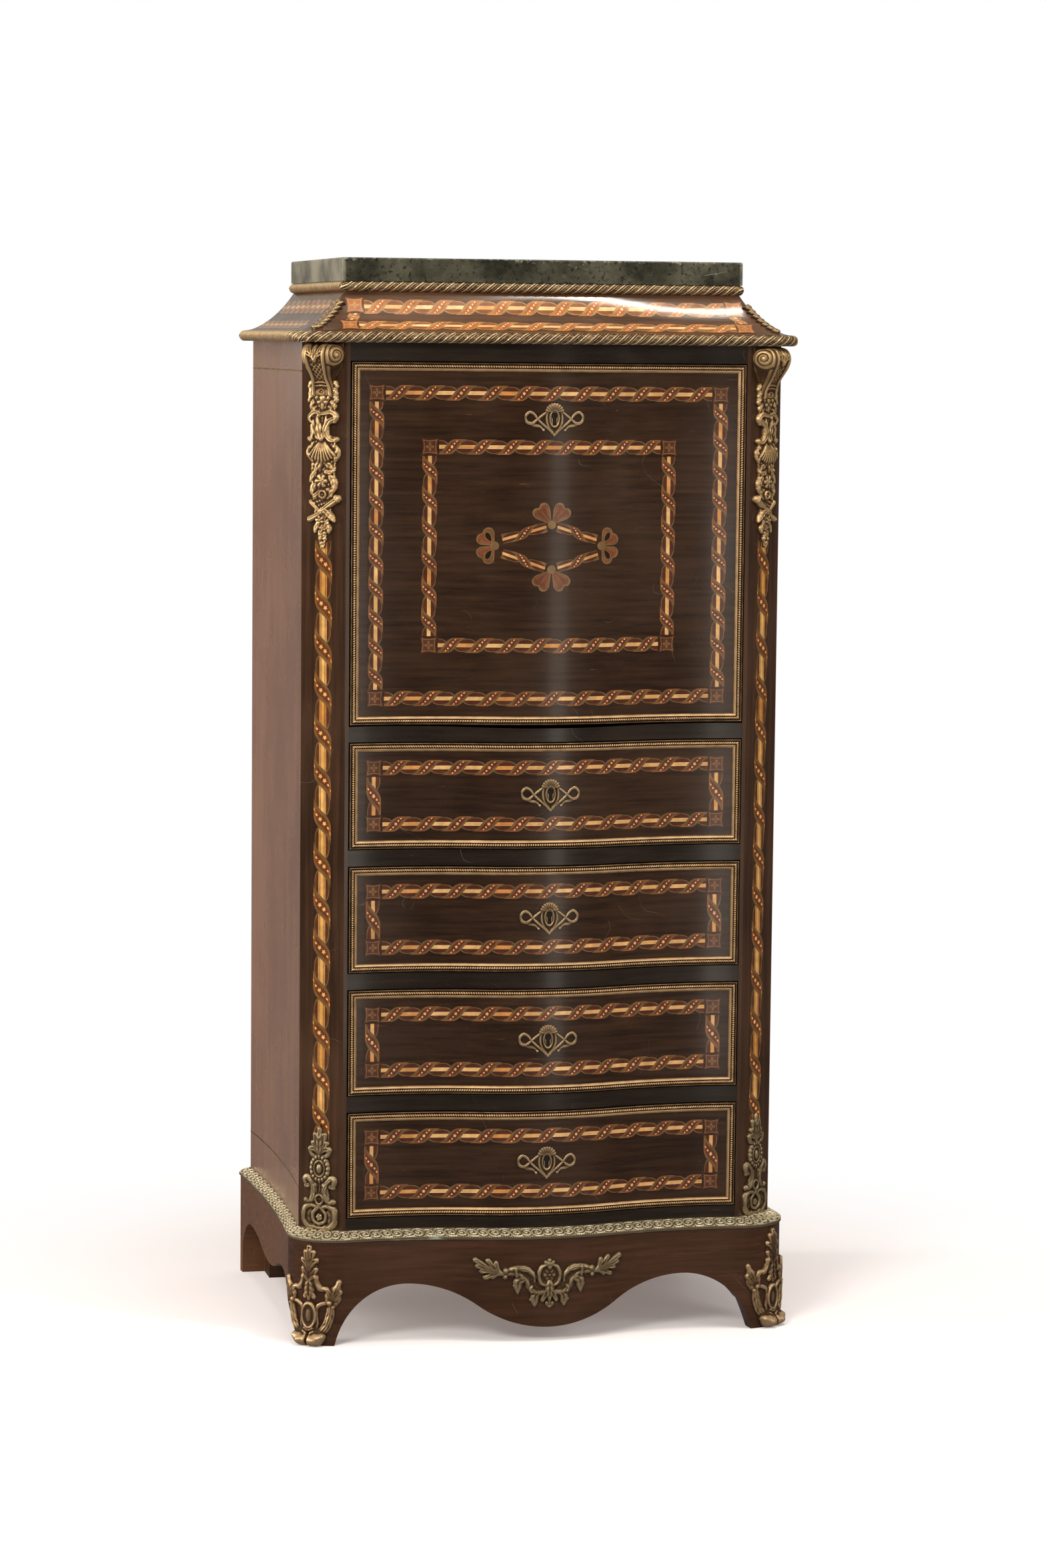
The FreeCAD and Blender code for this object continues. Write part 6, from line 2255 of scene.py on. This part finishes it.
    def ropes(self) -> None:
        """The lower rope on the bowed foot and the upper rope under the marble."""
        lower = self.rope(1.0, self.foot_rope, CASE_TOP + self.foot_rope)
        upper = self.rope(0.0, self.neck_rope, MARBLE_LOW - self.neck_rope)
        for name, shape in (("lower_rope", lower), ("upper_rope", upper)):
            make_piece(name, shape, ROPE, "rope_mouldings", crease=60.0)

    def sprigs(self) -> None:
        """Strings of leaves and flowers down the arris of each front corner."""
        r = Relief(9.5, 0.0, self.sprig_length, 0.6)
        for w in 6.0 + 10.2 * np.arange(7):
            r.leaf([(0, w - 4.5), (4, w), (8.6, w + 2.5)], 6.6, 4.4, 3)
            r.flower(0.0, w + 1.5, 4.4, 5.6, 5)
        r.stroke([(0, 2), (0, 38), (0, 72)], (3.5, 4, 2.5), 3.2, twin=False)
        levels = np.linspace(0.05, 0.76, 60)
        spread = self.spread(levels)
        _, radius, flat, shift = self.sizes(spread)
        heel = shift + spread * FRONT.depth(np.array(FRONT_HALF)) + radius
        slant = math.sqrt(0.5)
        line = np.stack([flat + radius * slant, heel - radius * slant, COVE_LOW + COVE_RISE * levels], -1)
        run = run_of(line)
        run *= self.sprig_length / run[-1]
        across = np.array([slant, slant, 0.0])
        way = np.gradient(line, axis=0)
        normal = np.cross(way / np.linalg.norm(way, axis=1, keepdims=True), across)
        normal *= np.sign(normal[:, 2:3])

        def on_arris(u: Array, w: Array, h: Array) -> Array:
            """Places relief along the arris, bent round it a little.

            Args:
                u, w: places across and along the arris.
                h: relief.

            Returns:
                The points.
            """
            axes = np.concatenate([line, normal], -1).T
            read = np.stack([np.interp(w, run, axis) for axis in axes], -1)
            return read[..., :3] + u[..., None] * across + (h - 0.018 * u**2)[..., None] * read[..., 3:]

        make_piece("cornice_sprigs_chased", r.cast(on_arris, 0.4, -3.0).pair(), KEYPLATE, "cornice_mounts")


@dataclass
class Panel:
    """A framed and inlaid front with a keyhole: body is also the start of its pieces' names."""

    body: str
    low: float
    high: float
    key_z: float

    def dress(self, *frames: tuple[Shape, Shape], bands: list[Shape] | None = None) -> None:
        """Makes what all panels have: veneer, frame, keyhole and inlay.

        Args:
            frames: bands and squares of each inlaid rectangle.
            bands: more ribbon bands.
        """
        ribbons = [each for each, _ in frames] + (bands or [])
        veneer = front_skin(PANEL_HALF, self.low + PANEL_GAP, self.high - PANEL_GAP)
        self.piece("veneer", veneer, DARK)
        frame_shape = frame_moulding(FRAME_HALF, self.low, self.high)
        self.piece("frame", frame_shape, FRAME, f"{self.body}_moulding", crease=60.0)
        self.piece("keyplate", self.keyplate(), KEYPLATE, f"{self.body}_escutcheon")
        self.piece("keyhole", self.keyhole(), KEYHOLE)
        self.piece("ribbon_inlay", Shape.joined(ribbons), FRONT_RIBBON)
        self.piece("square_inlay", Shape.joined([each for _, each in frames]), FRONT_SQUARE)
        paint(STEEL, f"{self.body}_lock", f"{self.body}_lock_bolt")

    def piece(self, name: str, shape: Shape, finish: Finish, *replaced: str, crease: float = 40.0) -> None:
        """Makes a piece that rides on the panel's body, which its name starts with."""
        make_piece(f"{self.body}_{name}", shape, finish, *replaced, body=self.body, crease=crease)

    def keyplate(self) -> Shape:
        """Keyhole plate: a fan shell over an oval, with ribbon loops that make a diamond and a finial below.

        Returns:
            The closed plate.
        """
        r = Relief(39.0, -22.5, 22.5, 0.5)
        r.stroke([(8, 12), (15, 7), (22, 1.5)], (3.6, 3.4, 3.4), 2.5, 1)
        r.stroke([(22, 1.5), (27, 8), (33, 10), (38, 4), (35.5, -2.5), (29, -4), (22, 1.5)],
                 (3.0, 3.6, 4.2, 4.4, 4.6, 4.4, 3.0), 2.6, 1)
        r.stroke([(34, -3), (26, -6.5), (19, -8), (14.5, -12)], (4, 4.6, 4.0, 2.4), 2.0, 1)
        r.stroke([(22, 1.5), (16, -4.5), (8, -11), (2, -17)], (3.2, 3.4, 3.8, 3.6), 2.7, 1)
        r.bead(14, -12.6, 1.9, 2.8, True)
        r.plate(1.0, 10.0, 15.5, 1.3)
        r.stroke([(3, 14), (9.5, 8), (9.8, -3), (6, -11), (0, -17.5)], (3, 3, 3, 3, 3), 2.6, 1)
        r.ring(0, 2.0, 6.0, 10.6, 1.8, 2.6)
        r.shell(0, 9.5, 13.0, 8.0, 172.0, 2.9)
        r.bead(0, -18.6, 2.6, 2.9).bead(3.0, -16.8, 1.7, 2.5, True)
        slot = (np.abs(r.across) < 2.5) & (r.up < 5) & (r.up > -6.5)
        r.cut(slot | (np.hypot(r.across, r.up - 5.5) < 4.0))
        return r.cast(on_front(-SKIN, self.key_z), back=-1.0)

    def keyhole(self) -> Shape:
        """A dark keyhole plug just under the plate's face: a disc with a slot below it.

        Returns:
            The closed plug.
        """
        centre, radius, drop, slot = 5.5, 4.5, 12.6, 2.9
        turn, share = np.meshgrid(np.linspace(0, 2 * np.pi, 33)[:-1], np.linspace(0.05, 1, 4))
        x, up = radius * share * np.sin(turn), np.cos(turn)
        w = centre + np.where(up < -0.5, -drop * share, radius * share * up)
        x = np.where(up < -0.5, np.clip(x, -slot, slot), x)
        place, flat = on_front(-SKIN, self.key_z), np.full_like(x, 0.2)
        points = np.concatenate([place(x, w, flat), place(x, w, -flat)[::-1]])
        quads = grid_quads(*points.shape[:2], loop_rows=True, loop_cols=True)
        return Shape(points.reshape(-1, 3), quads).outward()


@dataclass
class FallFront(Panel):
    """The hinged writing front, with two rectangles of ribbon and a cartouche of ribbon and bows."""

    body: str = "fall_front"
    low: float = FLAP_LOW
    high: float = FLAP_HIGH
    key_z: float = 1195.3
    middle: Point = (-4.0, 1034.6)
    band_half: float = 7.4
    knot: float = 5.5

    def build(self) -> None:
        """Makes all pieces of the fall front."""
        x, z = self.middle
        sides = [((-61.5, 8.0), (-5.0, 24.6), 1.0), ((9.5, 24.6), (62.2, 7.6), -1.0),
                 ((-61.5, -9.2), (-6.4, -28.6), -1.0), ((9.9, -28.1), (64.3, -10.9), 1.0)]
        bands = [band((x + a, z + b), (x + c, z + d), self.band_half, 1.5, on_front(0.0), 24, first=-0.25,
                      hand=hand) for (a, b), (c, d), hand in sides]
        outer = inlay_frame(226.5, 838.0, 1229.0, 11, 10)
        inner = inlay_frame(157.5, 906.5, 1160.5, 8, 6)
        self.dress(outer, inner, bands=bands)
        level = [((x - 71.0, z), 180.0), ((x + 69.0, z), 0.0)]
        plumb = [((x + 2.0, z + 27.0), 90.0), ((x + 2.0, z - 30.0), 270.0)]
        eyes = [self.loop(spot, away + 46.0 * hand, 42.0, 25.5, hand)
                for spot, away in level for hand in (1.0, -1.0)]
        loops = [self.loop(spot, away + 38.0 * hand, 31.0, 31.0, hand)
                 for spot, away in plumb for hand in (1.0, -1.0)]
        loops += [self.loop(spot, 0.0, 180.0, self.knot, 1.0) for spot, _ in level + plumb]
        self.piece("bow_inlay", Shape.joined(loops), BOW)
        self.piece("open_bow_inlay", Shape.joined(eyes), OPEN_BOW)
        paint(RAIL, "fall_front_panel")
        paint(BRASS, "flap_pivots", "quadrant_stays")
        paint(LEATHER, "writing_leather")

    def loop(self, knot: Point, angle: float, spread: float, length: float, hand: float) -> Shape:
        """One loop of a bow: a fan from the knot whose rim has two bulges.

        The rim lies at length x (1 - a dip in the middle - a fall at the sides).

        Args:
            knot: where it starts.
            angle: which way its middle goes, in degrees.
            spread: half its angle in degrees; 180 makes a round brass knot.
            length: its length.
            hand: 1, or -1 for its mirror image.

        Returns:
            The closed patch.
        """
        s, v = np.meshgrid(np.linspace(0.02, 1.0, 14), np.linspace(-1, 1, 33))
        turn = math.radians(angle) + hand * v * math.radians(spread)
        rim, u, layers = 1 - 0.1 * np.exp(-((v / 0.2) ** 2)) - 0.3 * np.abs(v) ** 5, s, 2
        if spread > 90.0:
            rim, u, layers = 1.0, 0.93 + 0.07 * s, 3
        x, z = knot[0] + length * s * rim * np.cos(turn), knot[1] + length * s * rim * np.sin(turn)
        return sheet(on_front(0.0), x, z, SKIN + layers * INLAY_LIFT, 0.4, (u, v))


@dataclass
class Drawer(Panel):
    """A long drawer."""

    margin: float = 32.0
    inlay_half: float = 227.5

    @classmethod
    def numbered(cls, index: int) -> "Drawer":
        """The drawer with a number; drawer 1 is the top one."""
        low = DRAWER_LOW + (4 - index) * DRAWER_PITCH
        return cls(f"drawer_{index}", low, low + DRAWER_HEIGHT, low + DRAWER_HEIGHT / 2)

    def build(self) -> None:
        """Makes all pieces of the drawer."""
        self.dress(inlay_frame(self.inlay_half, self.low + self.margin, self.high - self.margin, 11, 1))
        paint(RAIL, f"{self.body}_front")
        paint(OAK, f"{self.body}_box")


def stand(name: str, data: bpy.types.ID, right: Array, up: Array, back: Array, at: Spot) -> bpy.types.Object:
    """Puts a camera or a lamp into the scene.

    Args:
        name, data: the object's name and its data.
        right, up, back: which way its right side, top and back point.
        at: where it stands.

    Returns:
        The object.
    """
    thing = bpy.data.objects.new(name, data)
    matrix = np.eye(4)
    matrix[:3] = np.stack([right, up, back, at], -1)
    thing.matrix_world = Matrix(matrix.tolist())
    bpy.context.scene.collection.objects.link(thing)
    return thing


@dataclass(frozen=True)
class Lamp:
    """A soft rectangular lamp: size in metres, power in watts; mirrored says whether gloss shows it."""

    name: str
    at: Spot
    aim: Spot
    size: Point
    power: float
    mirrored: bool = True

    def light(self, colour: Colour) -> None:
        """Sets the lamp up.

        Args:
            colour: its colour.
        """
        data = bpy.data.lights.new(self.name, "AREA")
        data.shape = "RECTANGLE"
        data.size, data.size_y = self.size
        data.energy, data.color = self.power, colour
        back = np.subtract(self.at, self.aim)
        back = back / np.linalg.norm(back)
        right = np.cross([0.0, 0.0, 1.0], back)
        right = right / np.linalg.norm(right)
        lamp = stand(self.name, data, right, np.cross(back, right), back, self.at)
        lamp.visible_camera, lamp.visible_glossy = False, self.mirrored


LAMPS = (
    Lamp("strip light", (0.5, -2.0, 0.6), (0.0, -0.2, 0.6), (0.24, 1.15), 2.3),
    Lamp("key light", (-2.6, -3.4, 3.4), (0.0, 0.0, 0.8), (1.4, 1.4), 128.0),
    Lamp("side light", (-4.2, 0.6, 1.6), (0.0, 0.1, 0.8), (1.6, 2.4), 120.0),
    Lamp("fill light", (3.4, -3.0, 2.6), (0.0, 0.0, 0.7), (1.4, 1.6), 44.0),
    Lamp("top light", (0.2, -0.9, 4.0), (0.0, 0.0, 1.2), (2.0, 1.6), 60.0, False),
    Lamp("cornice light", (0.86, -1.1, 4.2), (0.1, -0.18, 1.34), (0.24, 0.5), 26.0),
)


@dataclass
class Studio:
    """Camera, floor, lamps and world; angles in degrees, focal length in pixels of the image's height."""

    eye: Spot = (-1.2132, -5.52122, 1.30122)
    yaw: float = 12.5123
    pitch: float = 6.0224
    roll: float = 0.5662
    focal: float = 6353.8
    image_height: int = 2350
    sensor: float = 36.0
    floor_reach: float = 60.0
    warm: Colour = (1.0, 0.93, 0.82)

    def build(self) -> None:
        """Sets the stage."""
        self.camera()
        self.floor()
        for lamp in LAMPS:
            lamp.light(self.warm)
        self.world()
        bpy.context.scene.view_settings.view_transform = "Standard"

    def camera(self) -> None:
        """Places the camera by its yaw, pitch and roll."""
        yaw, pitch, roll = np.radians([self.yaw, self.pitch, self.roll])
        ahead = np.array([np.sin(yaw) * np.cos(pitch), np.cos(yaw) * np.cos(pitch), -np.sin(pitch)])
        right = np.array([np.cos(yaw), -np.sin(yaw), 0.0])
        up = np.cross(right, ahead)
        data = bpy.data.cameras.new("camera")
        data.sensor_fit = "VERTICAL"
        data.sensor_height = self.sensor
        data.lens = self.focal / self.image_height * self.sensor
        data.clip_end = 50.0
        turned, raised = np.cos(roll) * right + np.sin(roll) * up, np.cos(roll) * up - np.sin(roll) * right
        bpy.context.scene.camera = stand("camera", data, turned, raised, -ahead, self.eye)

    def floor(self) -> None:
        """A pale floor that keeps the desk's shadow and goes over into white away from it."""
        far = self.floor_reach
        mesh = bpy.data.meshes.new("floor")
        mesh.from_pydata([(-far, -far, 0), (far, -far, 0), (far, far, 0), (-far, far, 0)], [], [(0, 1, 2, 3)])
        floor = bpy.data.objects.new("floor", mesh)
        bpy.context.scene.collection.objects.link(floor)
        material = bpy.data.materials.new("pale floor")
        mesh.materials.append(material)
        g = Surface(material)
        here = g.here()
        pale = g.mix(g.noise(here, 3.0, 2.0), (0.8, 0.8, 0.86), (0.84, 0.84, 0.9))
        g.wear(Base_Color=pale, Roughness=0.9, Specular_IOR_Level=0.1)
        away = g.fade(g.read("Value", "ShaderNodeVectorMath", {0: here}, operation="LENGTH"), 0.45, 1.05)
        seen, glossy = g.rays("Camera", "Glossy")
        glow = g.read(0, "ShaderNodeEmission", {"Color": (1.0, 0.84, 0.78), "Strength": seen * 0.19})
        near = g.read(0, "ShaderNodeAddShader", {0: Value(g, g.shader.outputs[0]), 1: glow})
        white, dim = (g.read(0, "ShaderNodeEmission", {"Strength": level}) for level in (1.0, 0.1))
        both = g.read(0, "ShaderNodeMixShader", {0: seen * away, 1: near, 2: white})
        shown = g.read(0, "ShaderNodeMixShader", {0: glossy, 1: both, 2: dim})
        g.put(g.find("OUTPUT_MATERIAL").inputs["Surface"], shown)

    def world(self) -> None:
        """A white surround for the camera that lights the desk softly, dimmer in front of the desk."""
        world = bpy.data.worlds.new("studio")
        bpy.context.scene.world = world
        world.use_nodes = True
        g = Graph(world.node_tree)
        camera, glossy, through = g.rays("Camera", "Glossy", "Transmission")
        _, y, _ = g.parts(g.read("Generated", "ShaderNodeTexCoord", {}))
        seen = g.most(glossy, through)
        soft = seen * g.fade(y, -0.7, 0.6, 0.05, 0.36) + (1.0 - seen) * 0.42
        back = g.find("BACKGROUND")
        g.put(back.inputs["Color"], g.mix(camera, self.warm, (1.0, 1.0, 1.0)))
        g.put(back.inputs["Strength"], g.most(camera, soft))


def main() -> None:
    """Builds the desk's looks in order."""
    logging.basicConfig(level=logging.INFO, format="%(name)s %(message)s")
    drawers = [Drawer.numbered(index) for index in range(1, 5)]
    for assembly in (Plinth(), Case(), Cornice(), FallFront(), *drawers, Studio()):
        assembly.build()
        LOG.info("built %s", type(assembly).__name__)


if __name__ == "__main__":
    main()
